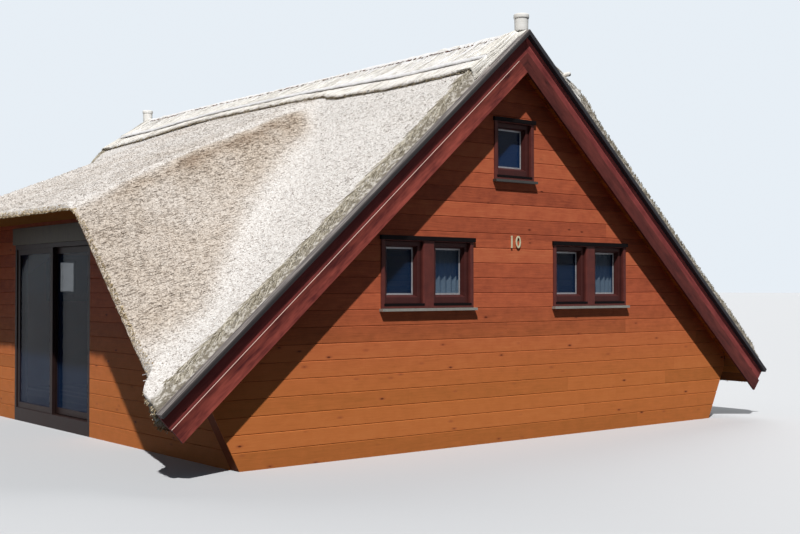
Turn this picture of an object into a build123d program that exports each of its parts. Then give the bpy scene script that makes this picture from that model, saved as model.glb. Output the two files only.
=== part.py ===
from build123d import *
import os
from math import cos, radians, sin, sqrt, tan

# A timber chalet under a steep roof of reed thatch.
# The ridge runs along Y, the front gable faces -Y, and the terrace side with the raised eave faces -X.
# The origin is on the ground, in the middle of the house. Sizes are in millimetres.

# Plan and roof
house_length = 9590
gable_flare = 0.5
roof_pitch = radians(41.4)
verge_apex = 4940
eave_reach = 4867

# Walls and floor
gable_wall_thickness = 160
side_wall_thickness = 160
eave_overhang = 987
gable_foot_inset = 17
wall_bite = 60
floor_thickness = 150

# Thatch, measured square to the slope from the plane of the verge flashing
thatch_rise = 83
right_thatch_rise = 120
thatch_underside = 210
lining_thickness = 24
verge_bevel_width = 250
right_bevel_width = 60

# Ridge cap
ridge_core_drop = 90
cap_slope = 0.66
cap_lower_reach = 780
cap_upper_reach = 430
cap_lower_layer = 60
cap_upper_layer = 36
cap_bedding = 140
cap_end_inset = 20
cap_upper_inset = 110
cap_blend_margin = 140
ridge_flat = 44
ridge_crown = 25
ridge_crown_reach = 130
ridge_roll_radius = 30

# Raised eave on the terrace side
dormer_eave_setback = 187
dormer_eave_height = 2735
dormer_edge = 65
dormer_half_length = 2575
dormer_taper = 0.2
opening_foot_overrun = 570
hip_easing = 65
valley_fill = 160
valley_fill_start = 700
valley_fill_end = 2100

# Verge boards and flashing
verge_board_face = 237
verge_board_thickness = 28
upper_board_top = -6
upper_board_bottom = 215
lower_board_top = 189
lower_board_bottom = 367
flashing_face = 49
flashing_rise = 18
flashing_proud = 68
flashing_flange = 112
flashing_sheet = 5

# Windows
window_width = 1380
window_height = 810
window_sill_height = 1620
window_offset = 1370
loft_width = 670
loft_height = 745
loft_sill_height = 3160
window_proud = 15
window_depth = 150
frame_bar = 50
sash_bar = 54
sash_setback = 45
mullion_width = 165
glass_setback = 118
glass_thickness = 24
sill_reach = 62
sill_side = 20
sill_thickness = 30

# Terrace door
door_width = 2500
door_head = 2450
door_frame_bar = 60
threshold_height = 180
leaf_thickness = 50
leaf_stile = 80
leaf_overlap = 80
fixed_leaf_setback = 15
leaf_gap = 10
running_gap = 5
roller_gap = 0.4
roller_length = 60
door_travel = 1090
pane_thickness = 24
handle_above_threshold = 1000
handle_length = 220
handle_bar = 20
handle_stand_off = 20
header_box_height = 230
header_box_depth = 40

# Ridge pots and house number
pot_radius = 88
pot_rim_radius = 100
pot_height = 227
pot_rim_height = 50
pot_wall = 18
pot_inset = 131
digit_height = 149
digit_stroke = 20
digit_width = 84
digit_gap = 26
digit_thickness = 8
digit_stand_off = 12
digit_pin_radius = 4
digit_centre_height = 2410

# How far a cut runs past the faces that it opens
cut_margin = 1

# Values worked out from the sizes above
half_length = house_length / 2
inside_half_length = half_length - gable_wall_thickness
slope = tan(roof_pitch)
board_front = half_length + verge_board_face
upper_board_front = board_front - verge_board_thickness
upper_board_back = upper_board_front - verge_board_thickness
flashing_front = upper_board_front + flashing_proud
flashing_edge = flashing_front - flashing_flange
lining_bottom = thatch_underside + lining_thickness
thatch_thickness = thatch_rise + thatch_underside
side_wall_face = eave_reach - eave_overhang
gable_half_width = side_wall_face - gable_foot_inset
wall_inner_face = side_wall_face - side_wall_thickness
roof_half_width = eave_reach + thatch_rise * sin(roof_pitch)
ridge_core_height = verge_apex - ridge_core_drop
dormer_eave_reach = eave_reach - dormer_eave_setback
dormer_slope = (ridge_core_height - dormer_eave_height - dormer_edge) / dormer_eave_reach
opening_foot = half_length + opening_foot_overrun
dormer_side_slope = dormer_eave_height / (opening_foot - dormer_half_length)


def apex(depth):
    """Height over the middle of the house of a line this deep below both roof planes."""
    return verge_apex - depth / cos(roof_pitch)


def eave_end(side, depth):
    """Corner of the square eave cut, this deep below the roof plane."""
    x = eave_reach - depth * sin(roof_pitch)
    z = verge_apex - eave_reach * slope - depth * cos(roof_pitch)
    return side * x, z


def rake_point(left_depth, right_depth):
    """Point of the gable drawing at these depths below the left and right roof planes."""
    x = (left_depth - right_depth) / (2 * sin(roof_pitch))
    z = verge_apex - (left_depth + right_depth) / (2 * cos(roof_pitch))
    return x, z


def slope_band(side, top, bottom):
    """Cross-section of one roof slope between two depths."""
    return [(0, apex(top)), eave_end(side, top), eave_end(side, bottom), (0, apex(bottom))]


def chevron(top, bottom):
    """Cross-section of both slopes between two depths, joined at the ridge."""
    return [
        (0, apex(top)),
        eave_end(1, top),
        eave_end(1, bottom),
        (0, apex(bottom)),
        eave_end(-1, bottom),
        eave_end(-1, top),
    ]


def extrude_along_house(points, front, rear, mode=Mode.ADD):
    """Draw a cross-section and run it from the front to the rear position on Y."""
    with BuildSketch(Plane.XZ.offset(-rear)) as section:
        Polygon(*points, align=None)
    extrude(section.sketch, amount=rear - front, mode=mode)


def box_between(low, high, mode=Mode.ADD):
    """Box from its lowest to its highest corner."""
    size = [high[i] - low[i] for i in range(3)]
    middle = [(high[i] + low[i]) / 2 for i in range(3)]
    with Locations(tuple(middle)):
        Box(*size, mode=mode)


def finish(part, name):
    """Label a finished piece and write it."""
    part.label = name
    export_step(part, f"parts/{name}.step")


os.makedirs("parts", exist_ok=True)

# Floor, between the walls
with BuildPart() as floor:
    box_between(
        (-wall_inner_face, -inside_half_length, 0),
        (wall_inner_face, inside_half_length, floor_thickness),
    )
finish(floor.part, "floor")

# Openings of a gable wall, as centre and size on the gable drawing
window_places = {
    "left_window": (-window_offset, window_sill_height, window_width, window_height),
    "right_window": (window_offset, window_sill_height, window_width, window_height),
    "loft_window": (0, loft_sill_height, loft_width, loft_height),
}

# Gable walls, with edges that lean out towards the eaves
wall_apex = apex(lining_bottom)
flare_height = (wall_apex - slope * gable_half_width) / (1 + slope * gable_flare)
flare_reach = gable_half_width + gable_flare * flare_height
gable_outline = [
    (-gable_half_width, 0),
    (gable_half_width, 0),
    (flare_reach, flare_height),
    (0, wall_apex),
    (-flare_reach, flare_height),
]
with BuildPart() as front_wall:
    extrude_along_house(gable_outline, -half_length, -inside_half_length)
    for middle, sill, width, height in window_places.values():
        box_between(
            (middle - width / 2, -half_length - cut_margin, sill),
            (middle + width / 2, -inside_half_length + cut_margin, sill + height),
            mode=Mode.SUBTRACT,
        )
finish(front_wall.part, "front_wall")

with BuildPart() as rear_wall:
    add(front_wall.part)
    mirror(about=Plane.XZ, mode=Mode.REPLACE)
finish(rear_wall.part, "rear_wall")

# Low wall under the right-hand slope
with BuildPart() as right_wall:
    extrude_along_house(
        [
            (wall_inner_face, 0),
            (side_wall_face, 0),
            (side_wall_face, wall_apex - slope * side_wall_face),
            (wall_inner_face, wall_apex - slope * wall_inner_face),
        ],
        -inside_half_length,
        inside_half_length,
    )
finish(right_wall.part, "right_wall")

# Thatch section of one slope, cut down at the top where the ridge cap lies on it
thatch_rises = {-1: thatch_rise, 1: right_thatch_rise}
bevel_widths = {-1: verge_bevel_width, 1: right_bevel_width}


def thatch_section(side):
    """Cross-section of the thatch on one slope."""
    cap_meet_x = (apex(-thatch_rises[side]) - ridge_core_height) / (slope - cap_slope)
    return [
        (0, ridge_core_height),
        (side * cap_meet_x, ridge_core_height - cap_slope * cap_meet_x),
        eave_end(side, -thatch_rises[side]),
        eave_end(side, thatch_underside),
        (0, apex(thatch_underside)),
    ]


def bevel_verge(side, end):
    """Trim the thatch down to the flashing at one end of the house."""
    flange_underside = flashing_sheet - flashing_rise
    bevel = (thatch_rises[side] + flange_underside) / bevel_widths[side]
    start = (0, end * flashing_edge, apex(flange_underside))
    facing = (side * sin(roof_pitch), end * bevel, cos(roof_pitch))
    split(bisect_by=Plane(origin=start, z_dir=facing), keep=Keep.BOTTOM)


with BuildPart() as thatch_right:
    extrude_along_house(thatch_section(1), -upper_board_back, upper_board_back)
    bevel_verge(1, -1)
    bevel_verge(1, 1)
finish(thatch_right.part, "thatch_right")

with BuildPart() as roof_lining_right:
    extrude_along_house(
        slope_band(1, thatch_underside, lining_bottom), -upper_board_back, upper_board_back
    )
finish(roof_lining_right.part, "roof_lining_right")

# The raised eave: a flatter roof plane with a sloping side plane at each end
dormer_eave_top = ridge_core_height - dormer_slope * dormer_eave_reach
side_rise = dormer_slope - dormer_side_slope * dormer_taper


def dormer_block(depth, sides=True):
    """Everything under the raised roof's planes, this deep below them, with or without its two side planes."""
    box_between(
        (-dormer_eave_reach, -half_length, 0),
        (0, half_length, verge_apex),
    )
    roof_plane = Plane(origin=(0, 0, ridge_core_height), z_dir=(-dormer_slope, 0, 1))
    split(bisect_by=roof_plane.offset(-depth), keep=Keep.BOTTOM)
    for end in (-1, 1) if sides else ():
        side_plane = Plane(
            origin=(-dormer_eave_reach, end * dormer_half_length, dormer_eave_top),
            z_dir=(-side_rise, end * dormer_side_slope, 1),
        )
        split(bisect_by=side_plane.offset(-depth), keep=Keep.BOTTOM)


def facet(x, y, z, x_slope, end):
    """Plane halfway between a side plane and the roof plane beside it, through a point of their crease."""
    return Plane(
        origin=(x, end * y, z),
        z_dir=(-(side_rise + x_slope) / 2, end * dormer_side_slope / 2, 1),
    )


# The valleys are filled more and more down to a certain run, and evenly from there to the eave,
# and the hips are eased
valley_foot = apex(-thatch_rise) - slope * dormer_eave_reach
valley_foot_y = dormer_half_length + (dormer_eave_top - valley_foot) / dormer_side_slope
valley_growth = valley_fill / (valley_fill_end - valley_fill_start)
growing_fill = valley_growth * (dormer_eave_reach - valley_fill_start)
with BuildPart() as valley_block:
    dormer_block(0, sides=False)
    for end in (-1, 1):
        for fill, x_slope in ((growing_fill, slope - 2 * valley_growth), (valley_fill, slope)):
            split(
                bisect_by=facet(
                    -dormer_eave_reach, valley_foot_y, valley_foot + fill, x_slope, end
                ),
                keep=Keep.BOTTOM,
            )
with BuildPart() as dormer_outside:
    dormer_block(0)
    for end in (-1, 1):
        hip_top = dormer_eave_top - hip_easing
        split(
            bisect_by=facet(-dormer_eave_reach, dormer_half_length, hip_top, dormer_slope, end),
            keep=Keep.BOTTOM,
        )
    add(valley_block.part)
with BuildPart() as dormer_underside:
    dormer_block(thatch_thickness)
with BuildPart() as dormer_room:
    dormer_block(thatch_thickness + lining_thickness)

# The opening under the raised eave, cut level and with sloping sides that run on below the ground
opening_base_half = opening_foot + thatch_thickness / dormer_side_slope
opening_outline = [
    (-opening_base_half, -thatch_thickness),
    (-dormer_half_length, dormer_eave_height),
    (dormer_half_length, dormer_eave_height),
    (opening_base_half, -thatch_thickness),
]
with BuildPart() as eave_opening:
    with BuildSketch(Plane.YZ.offset(-roof_half_width - cut_margin)):
        Polygon(*opening_outline, align=None)
    extrude(amount=roof_half_width + cut_margin - wall_inner_face)

# Everything below the main slope's thatch, and below its lining
def below_left_slope(depth):
    """Cross-section of all that lies deeper than this under the left roof plane."""
    foot = apex(depth) - slope * roof_half_width
    return [
        (0, apex(depth)),
        (-roof_half_width, foot),
        (-roof_half_width, -verge_apex),
        (0, -verge_apex),
    ]


with BuildPart() as under_thatch:
    extrude_along_house(below_left_slope(thatch_underside), -board_front, board_front)
with BuildPart() as under_lining:
    extrude_along_house(below_left_slope(lining_bottom), -board_front, board_front)

with BuildPart() as thatch_left:
    extrude_along_house(thatch_section(-1), -upper_board_back, upper_board_back)
    bevel_verge(-1, -1)
    bevel_verge(-1, 1)
    add(dormer_outside.part, mode=Mode.SUBTRACT)
    add(eave_opening.part, mode=Mode.SUBTRACT)
for name, keep in (("thatch_left_front", Keep.TOP), ("thatch_left_rear", Keep.BOTTOM)):
    with BuildPart() as thatch_end:
        add(thatch_left.part)
        split(bisect_by=Plane.XZ, keep=keep)
    finish(thatch_end.part, name)

with BuildPart() as thatch_dormer:
    add(dormer_outside.part)
    add(dormer_underside.part, mode=Mode.SUBTRACT)
    add(under_thatch.part, mode=Mode.SUBTRACT)
    add(eave_opening.part, mode=Mode.SUBTRACT)
finish(thatch_dormer.part, "thatch_dormer")

with BuildPart() as roof_lining_left:
    extrude_along_house(
        slope_band(-1, thatch_underside, lining_bottom), -upper_board_back, upper_board_back
    )
    add(dormer_underside.part, mode=Mode.SUBTRACT)
    add(eave_opening.part, mode=Mode.SUBTRACT)
finish(roof_lining_left.part, "roof_lining_left")

with BuildPart() as dormer_lining:
    add(dormer_underside.part)
    add(dormer_room.part, mode=Mode.SUBTRACT)
    add(under_lining.part, mode=Mode.SUBTRACT)
    box_between(
        (-roof_half_width, -board_front, 0),
        (-wall_inner_face, board_front, verge_apex),
        mode=Mode.SUBTRACT,
    )
finish(dormer_lining.part, "dormer_lining")

# Terrace wall, fitted under the thatch and split beside and over the doorway
dormer_drop = thatch_thickness * sqrt(1 + dormer_slope**2)
low_top = apex(thatch_underside) - slope * wall_inner_face + wall_bite
high_top = ridge_core_height - dormer_drop - dormer_slope * wall_inner_face + wall_bite
low_run = opening_foot - low_top / dormer_side_slope
high_run = opening_foot - high_top / dormer_side_slope
terrace_wall_outline = [
    (-inside_half_length, 0),
    (-inside_half_length, low_top),
    (-low_run, low_top),
    (-high_run, high_top),
    (high_run, high_top),
    (low_run, low_top),
    (inside_half_length, low_top),
    (inside_half_length, 0),
]
with BuildPart() as terrace_wall:
    with BuildSketch(Plane.YZ.offset(-side_wall_face)):
        Polygon(*terrace_wall_outline, align=None)
    extrude(amount=side_wall_thickness)
    add(thatch_left.part, mode=Mode.SUBTRACT)
    add(thatch_dormer.part, mode=Mode.SUBTRACT)
    add(roof_lining_left.part, mode=Mode.SUBTRACT)
wall_pieces = {
    "left_wall_front": (-half_length, -door_width / 2, 0),
    "left_wall_rear": (door_width / 2, half_length, 0),
    "left_wall_over_door": (-door_width / 2, door_width / 2, door_head),
}
for name, (front, rear, bottom) in wall_pieces.items():
    with BuildPart() as wall_piece:
        box_between((-side_wall_face, front, bottom), (-wall_inner_face, rear, verge_apex))
        add(terrace_wall.part, mode=Mode.INTERSECT)
    finish(wall_piece.part, name)

# Ridge cap: two layers of reed laid over the ridge, raised where they cross the flatter roof
cap_full_top = ridge_core_height + cap_lower_layer
cap_raise = cap_lower_reach * (cap_slope - dormer_slope)
hip_y = dormer_half_length - dormer_taper * (dormer_eave_reach - cap_lower_reach)
valley_drop = ridge_core_height - apex(-thatch_rise) + (slope - dormer_slope) * cap_lower_reach
valley_y = hip_y + valley_drop / dormer_side_slope
raise_start = valley_y + cap_blend_margin
raise_end = hip_y - cap_blend_margin


def cap_profile(reach, bottom, top, raised, crown):
    """Cross-section of a cap layer, with its left side lifted by a share of the full raise.

    A crowned layer stands higher over the ridge, between two shoulders.
    """
    left_slope = cap_slope - raised * cap_raise / (cap_lower_reach - ridge_flat)
    run = reach - ridge_flat
    shoulder = ridge_crown_reach - ridge_flat
    top_flat = top - cap_slope * ridge_flat
    bottom_flat = bottom - cap_slope * ridge_flat
    left_shoulder = [(-ridge_crown_reach, top_flat - left_slope * shoulder)] if crown else []
    right_shoulder = [(ridge_crown_reach, top_flat - cap_slope * shoulder)] if crown else []
    return [
        (-ridge_flat, top_flat + crown),
        *left_shoulder,
        (-reach, top_flat - left_slope * run),
        (-reach, bottom_flat - left_slope * run),
        (-ridge_flat, bottom_flat),
        (ridge_flat, bottom_flat),
        (reach, bottom_flat - cap_slope * run),
        (reach, top_flat - cap_slope * run),
        *right_shoulder,
        (ridge_flat, top_flat + crown),
    ]


def cap_body(reach, bottom, top, half, crown=0):
    """Cap layer from end to end, ruled between its cross-sections."""
    sections = []
    for y, raised in (
        (-half, 0), (-raise_start, 0), (-raise_end, 1), (raise_end, 1), (raise_start, 0), (half, 0),
    ):
        with BuildSketch(Plane.XZ.offset(-y)) as section:
            Polygon(*cap_profile(reach, bottom, top, raised, crown), align=None)
        sections.append(section.sketch.face())
    loft(sections, ruled=True)


with BuildPart() as ridge_cap_lower:
    cap_body(
        cap_lower_reach,
        ridge_core_height - cap_bedding,
        cap_full_top,
        upper_board_back - cap_end_inset,
    )
    for thatch in (thatch_right, thatch_left, thatch_dormer):
        add(thatch.part, mode=Mode.SUBTRACT)
finish(ridge_cap_lower.part, "ridge_cap_lower")

with BuildPart() as ridge_cap_upper:
    cap_body(
        cap_upper_reach,
        cap_full_top,
        cap_full_top + cap_upper_layer,
        upper_board_back - cap_upper_inset,
        ridge_crown,
    )
finish(ridge_cap_upper.part, "ridge_cap_upper")

# Reed roll sewn along the ridge
cap_top = cap_full_top + cap_upper_layer - cap_slope * ridge_flat + ridge_crown
roll_half = half_length + pot_inset - pot_radius
with BuildPart() as ridge_roll:
    with BuildSketch(Plane.XZ.offset(-roll_half)):
        with Locations((0, cap_top)):
            Circle(ridge_roll_radius)
            Rectangle(
                2 * ridge_roll_radius,
                ridge_roll_radius,
                align=(Align.CENTER, Align.MAX),
                mode=Mode.SUBTRACT,
            )
    extrude(amount=2 * roll_half)
finish(ridge_roll.part, "ridge_roll")

# Verge boards: a mitred upper board, and lower boards of which the right one runs on to the peak
end_names = {"front": -1, "rear": 1}
for end_name, end in end_names.items():
    upper_front, upper_rear = sorted((end * upper_board_front, end * upper_board_back))
    lower_front, lower_rear = sorted((end * board_front, end * upper_board_front))
    with BuildPart() as upper_board:
        extrude_along_house(chevron(upper_board_top, upper_board_bottom), upper_front, upper_rear)
    finish(upper_board.part, f"{end_name}_upper_bargeboard")

    with BuildPart() as lower_right:
        extrude_along_house(
            [
                rake_point(lower_board_top, lower_board_top),
                eave_end(1, lower_board_top),
                eave_end(1, lower_board_bottom),
                rake_point(lower_board_top, lower_board_bottom),
            ],
            lower_front,
            lower_rear,
        )
    finish(lower_right.part, f"{end_name}_right_lower_bargeboard")

    with BuildPart() as lower_left:
        extrude_along_house(
            [
                rake_point(lower_board_top, lower_board_bottom),
                rake_point(lower_board_bottom, lower_board_bottom),
                eave_end(-1, lower_board_bottom),
                eave_end(-1, lower_board_top),
            ],
            lower_front,
            lower_rear,
        )
    finish(lower_left.part, f"{end_name}_left_lower_bargeboard")

    face_front, face_rear = sorted((end * flashing_front, end * upper_board_front))
    flange_front, flange_rear = sorted((end * upper_board_front, end * flashing_edge))
    with BuildPart() as flashing:
        for depth, front, rear in (
            (flashing_face, face_front, face_rear),
            (flashing_sheet, flange_front, flange_rear),
        ):
            extrude_along_house(chevron(-flashing_rise, depth - flashing_rise), front, rear)
    finish(flashing.part, f"{end_name}_verge_flashing")


# Clay pots closing the ridge at both ends
pot_base = cap_full_top - cap_slope * ridge_flat
for end_name, end in end_names.items():
    pot_y = end * (half_length + pot_inset)
    pot_top = verge_apex + pot_height
    with BuildPart() as pot:
        with BuildSketch(Plane.XY.offset(pot_base)):
            with Locations((0, pot_y)):
                Circle(pot_radius)
        extrude(amount=pot_top - pot_base)
        with BuildSketch(Plane.XY.offset(pot_top - pot_rim_height)):
            with Locations((0, pot_y)):
                Circle(pot_rim_radius)
        extrude(amount=pot_rim_height)
        with BuildSketch(Plane.XY.offset(verge_apex + pot_wall)):
            with Locations((0, pot_y)):
                Circle(pot_radius - pot_wall)
        extrude(amount=pot_height, mode=Mode.SUBTRACT)
        add(ridge_cap_upper.part, mode=Mode.SUBTRACT)
        past_front, past_rear = sorted((end * flashing_edge, end * (flashing_front + cut_margin)))
        extrude_along_house(
            chevron(-flashing_rise, pot_height), past_front, past_rear, mode=Mode.SUBTRACT
        )
    finish(pot.part, f"ridge_pot_{end_name}")


def window_frame(middle, sill, width, height, sashes):
    """Fixed frame with its sashes and the mullion between them, seen from the front."""
    face = -half_length - window_proud
    back = face + window_depth
    box_between(
        (middle - width / 2, face, sill), (middle + width / 2, back, sill + height)
    )
    clear_width = (width - 2 * frame_bar - (sashes - 1) * mullion_width) / sashes
    for index in range(sashes):
        left = middle - width / 2 + frame_bar + index * (clear_width + mullion_width)
        box_between(
            (left, face - cut_margin, sill + frame_bar),
            (left + clear_width, face + sash_setback, sill + height - frame_bar),
            mode=Mode.SUBTRACT,
        )
        box_between(
            (left + sash_bar, face, sill + frame_bar + sash_bar),
            (left + clear_width - sash_bar, back + cut_margin, sill + height - frame_bar - sash_bar),
            mode=Mode.SUBTRACT,
        )


def window_panes(middle, sill, width, height, sashes):
    """One sealed pane in each sash."""
    front = -half_length - window_proud + glass_setback
    clear_width = (width - 2 * frame_bar - (sashes - 1) * mullion_width) / sashes
    for index in range(sashes):
        left = middle - width / 2 + frame_bar + index * (clear_width + mullion_width)
        box_between(
            (left + sash_bar, front, sill + frame_bar + sash_bar),
            (
                left + clear_width - sash_bar,
                front + glass_thickness,
                sill + height - frame_bar - sash_bar,
            ),
        )


def window_sill(middle, sill, width):
    """Metal sill lapped under the frame and standing proud of the boards."""
    box_between(
        (middle - width / 2 - sill_side, -half_length - sill_reach, sill - sill_thickness),
        (middle + width / 2 + sill_side, -half_length, sill),
    )


def to_rear():
    """Turn a front piece into its mirror image at the rear gable."""
    mirror(about=Plane.XZ, mode=Mode.REPLACE)


sash_count = {"left_window": 2, "right_window": 2, "loft_window": 1}
for end_name, end in end_names.items():
    for name, (middle, sill, width, height) in window_places.items():
        with BuildPart() as frame:
            window_frame(middle, sill, width, height, sash_count[name])
            if end > 0:
                to_rear()
        finish(frame.part, f"{end_name}_{name}")

    with BuildPart() as panes:
        for name, (middle, sill, width, height) in window_places.items():
            window_panes(middle, sill, width, height, sash_count[name])
        if end > 0:
            to_rear()
    finish(panes.part, f"{end_name}_window_glass")

    with BuildPart() as sills:
        for middle, sill, width, height in window_places.values():
            window_sill(middle, sill, width)
        if end > 0:
            to_rear()
    finish(sills.part, f"{end_name}_window_sills")

# Terrace door: frame, a fixed leaf outside and a sliding leaf inside
door_half = door_width / 2
clear_half = door_half - door_frame_bar
clear_head = door_head - door_frame_bar
with BuildPart() as terrace_door_frame:
    box_between((-side_wall_face, -door_half, 0), (-wall_inner_face, door_half, door_head))
    box_between(
        (-side_wall_face - cut_margin, -clear_half, threshold_height),
        (-wall_inner_face + cut_margin, clear_half, clear_head),
        mode=Mode.SUBTRACT,
    )
finish(terrace_door_frame.part, "terrace_door_frame")

fixed_face = -side_wall_face + fixed_leaf_setback
sliding_face = fixed_face + leaf_thickness + leaf_gap
fixed_front = -leaf_overlap / 2
sliding_rear = leaf_overlap / 2
sliding_front = -clear_half + running_gap
sliding_bottom = threshold_height + 2 * running_gap
sliding_top = clear_head - running_gap


def glazed_leaf(face, front, rear, bottom, top):
    """Leaf with four bars around one large pane."""
    box_between((face, front, bottom), (face + leaf_thickness, rear, top))
    box_between(
        (face - cut_margin, front + leaf_stile, bottom + leaf_stile),
        (face + leaf_thickness + cut_margin, rear - leaf_stile, top - leaf_stile),
        mode=Mode.SUBTRACT,
    )


def leaf_pane(face, front, rear, bottom, top):
    """Sealed pane in the middle of a leaf's thickness."""
    pane_face = face + (leaf_thickness - pane_thickness) / 2
    box_between(
        (pane_face, front + leaf_stile, bottom + leaf_stile),
        (pane_face + pane_thickness, rear - leaf_stile, top - leaf_stile),
    )


with BuildPart() as fixed_leaf:
    glazed_leaf(fixed_face, fixed_front, clear_half, threshold_height, clear_head)
finish(fixed_leaf.part, "fixed_leaf")

with BuildPart() as fixed_leaf_glass:
    leaf_pane(fixed_face, fixed_front, clear_half, threshold_height, clear_head)
finish(fixed_leaf_glass.part, "fixed_leaf_glass")

with BuildPart() as sliding_leaf:
    glazed_leaf(sliding_face, sliding_front, sliding_rear, sliding_bottom, sliding_top)
    for corner in (sliding_front + leaf_stile, sliding_rear - leaf_stile):
        box_between(
            (sliding_face, corner - roller_length / 2, threshold_height + roller_gap),
            (sliding_face + leaf_thickness, corner + roller_length / 2, sliding_bottom),
        )
finish(sliding_leaf.part, "sliding_leaf")

with BuildPart() as sliding_leaf_glass:
    leaf_pane(sliding_face, sliding_front, sliding_rear, sliding_bottom, sliding_top)
finish(sliding_leaf_glass.part, "sliding_leaf_glass")

handle_middle = sliding_front + leaf_stile / 2
handle_height = threshold_height + handle_above_threshold
with BuildPart() as door_handle:
    outer = sliding_face - handle_stand_off - handle_bar
    box_between(
        (outer, handle_middle - handle_bar / 2, handle_height - handle_length / 2),
        (outer + handle_bar, handle_middle + handle_bar / 2, handle_height + handle_length / 2),
    )
    for side in (-1, 1):
        post = handle_height + side * (handle_length - handle_bar) / 2
        box_between(
            (outer, handle_middle - handle_bar / 2, post - handle_bar / 2),
            (sliding_face, handle_middle + handle_bar / 2, post + handle_bar / 2),
        )
finish(door_handle.part, "door_handle")

with BuildPart() as door_header_box:
    box_between(
        (-side_wall_face - header_box_depth, -door_half, door_head),
        (-side_wall_face, door_half, door_head + header_box_height),
    )
finish(door_header_box.part, "door_header_box")

# House number: two plain figures on short pins
figure_offset = (digit_width + digit_gap) / 2
figure_back = -half_length - digit_stand_off
with BuildPart() as house_number:
    with BuildSketch(Plane.XZ.offset(-figure_back)):
        with Locations((-figure_offset, digit_centre_height)):
            Rectangle(digit_stroke, digit_height)
        with Locations((figure_offset, digit_centre_height)):
            Ellipse(digit_width / 2, digit_height / 2)
            Ellipse(digit_width / 2 - digit_stroke, digit_height / 2 - digit_stroke, mode=Mode.SUBTRACT)
    extrude(amount=digit_thickness)
    pin_height = (digit_height - digit_stroke) / 2
    with BuildSketch(Plane.XZ.offset(half_length)):
        with Locations(
            (-figure_offset, digit_centre_height + pin_height),
            (-figure_offset, digit_centre_height - pin_height),
            (figure_offset, digit_centre_height + pin_height),
            (figure_offset, digit_centre_height - pin_height),
        ):
            Circle(digit_pin_radius)
    extrude(amount=digit_stand_off)
finish(house_number.part, "house_number")
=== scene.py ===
import math

import bmesh
import bpy
import numpy as np
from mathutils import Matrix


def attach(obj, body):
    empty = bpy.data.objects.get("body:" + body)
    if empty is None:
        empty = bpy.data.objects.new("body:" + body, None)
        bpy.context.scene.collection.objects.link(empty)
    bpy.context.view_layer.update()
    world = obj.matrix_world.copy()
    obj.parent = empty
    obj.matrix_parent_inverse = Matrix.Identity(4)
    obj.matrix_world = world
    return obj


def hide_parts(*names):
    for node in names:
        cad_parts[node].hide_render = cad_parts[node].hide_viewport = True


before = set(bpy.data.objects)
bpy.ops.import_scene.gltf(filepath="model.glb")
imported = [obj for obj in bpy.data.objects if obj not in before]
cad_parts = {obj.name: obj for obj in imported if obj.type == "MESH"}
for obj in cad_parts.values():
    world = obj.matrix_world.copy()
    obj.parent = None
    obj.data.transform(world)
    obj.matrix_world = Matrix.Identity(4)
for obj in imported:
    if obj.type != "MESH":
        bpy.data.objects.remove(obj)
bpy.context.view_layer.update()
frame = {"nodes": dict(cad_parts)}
nodes = frame["nodes"]

# The chalet's ridge runs along Y over x = 0, its front gable faces -Y, and +Z is up. Sizes are in metres.
# "Run" is the distance from the middle of the house, measured level, on either slope. Side is -1 on the
# terrace's slope and 1 on the right one, and end is -1 at the front gable and 1 at the rear one.

# Roof
PITCH = math.radians(41.4)
SLOPE = math.tan(PITCH)
VERGE_APEX = 4.94
HALF_LENGTH = 4.795
VERGE_END = 4.962
BOARD_FRONT = 5.032
FLASHING_RISE = 0.018
THATCH_RISE = 0.083
THATCH_DEPTH = 0.210
RIGHT_RISE = 0.125
COURSE_SLANT = 0.40
COURSE_LEAN = 0.24
UNDER_TOP = VERGE_APEX - THATCH_DEPTH / math.cos(PITCH)
EAVE_REACH = 4.867
EAVE_TOP_RUN = EAVE_REACH + THATCH_RISE * math.sin(PITCH)
EAVE_BOTTOM_RUN = EAVE_REACH - THATCH_DEPTH * math.sin(PITCH)
EAVE_ROUNDING = 0.05
VERGE_BEVEL = 0.13
RIGHT_BEVEL = 0.035

# Raised eave on the terrace side. It turns into the plain eave between two distances along the house.
CORE_TOP = 4.85
RAISED_REACH = 4.68
RAISED_SLOPE = 2.05 / RAISED_REACH
RAISED_EDGE = 2.80
RAISED_SOFFIT = 2.735
RAISED_HALF = 2.575
RAISED_FOOT = 5.365
SIDE_FALL = RAISED_SOFFIT / (RAISED_FOOT - RAISED_HALF)
SIDE_RISE = RAISED_SLOPE - 0.2 * SIDE_FALL
VALLEY_ROUNDING = 0.55
HIP_ROUNDING = 0.30
EAVE_CHANGE = (4.42, 4.72)

# Ridge cap: its two layers end at these runs, and further down on the right. Its slope and its lower edge
# change along the house.
CAP_SLOPE = 0.58
CAP_SLOPE_TURNS_Y = (-3.3, -1.0, 1.2, 3.6, 4.9)
CAP_SLOPE_TURNS = (CAP_SLOPE, 0.455, 0.435, 0.545, 0.56)
CAP_EDGE_TURNS_Y = (-4.7, -3.6, -2.6, -2.35, -2.05, -1.8, -1.3, 1.2, 2.0, 3.0, 4.6)
CAP_EDGE_TURNS = (0.80, 0.84, 0.86, 0.90, 0.84, 0.73, 0.78, 0.80, 0.74, 0.80, 0.91)
CAP_LOWER_REACH = 0.81
CAP_UPPER_REACH = 0.580
CAP_RIGHT_SLOPE = 0.52
CAP_RIGHT_REACH = 0.23
CAP_LAYER = 0.044
BOTH_LAYERS = 2 * CAP_LAYER
CAP_UPPER_END = 4.90
CAP_BEVEL = 0.08
CAP_LIP = 0.022
RIDGE_FLAT = 0.044
RIDGE_CROWN = 0.056
REAR_FULLNESS = 0.022
REAR_STRETCH = (0.6, 2.6)
EDGE_ROLL_RADIUS = 0.030
BUNDLE_HEIGHT = 4.934
BUNDLE_RADIUS = 0.036
BUNDLE_END = 4.84
STITCH_RUN = 0.098
STITCH_END = 4.83
STITCH_COUNT = 121
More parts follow.
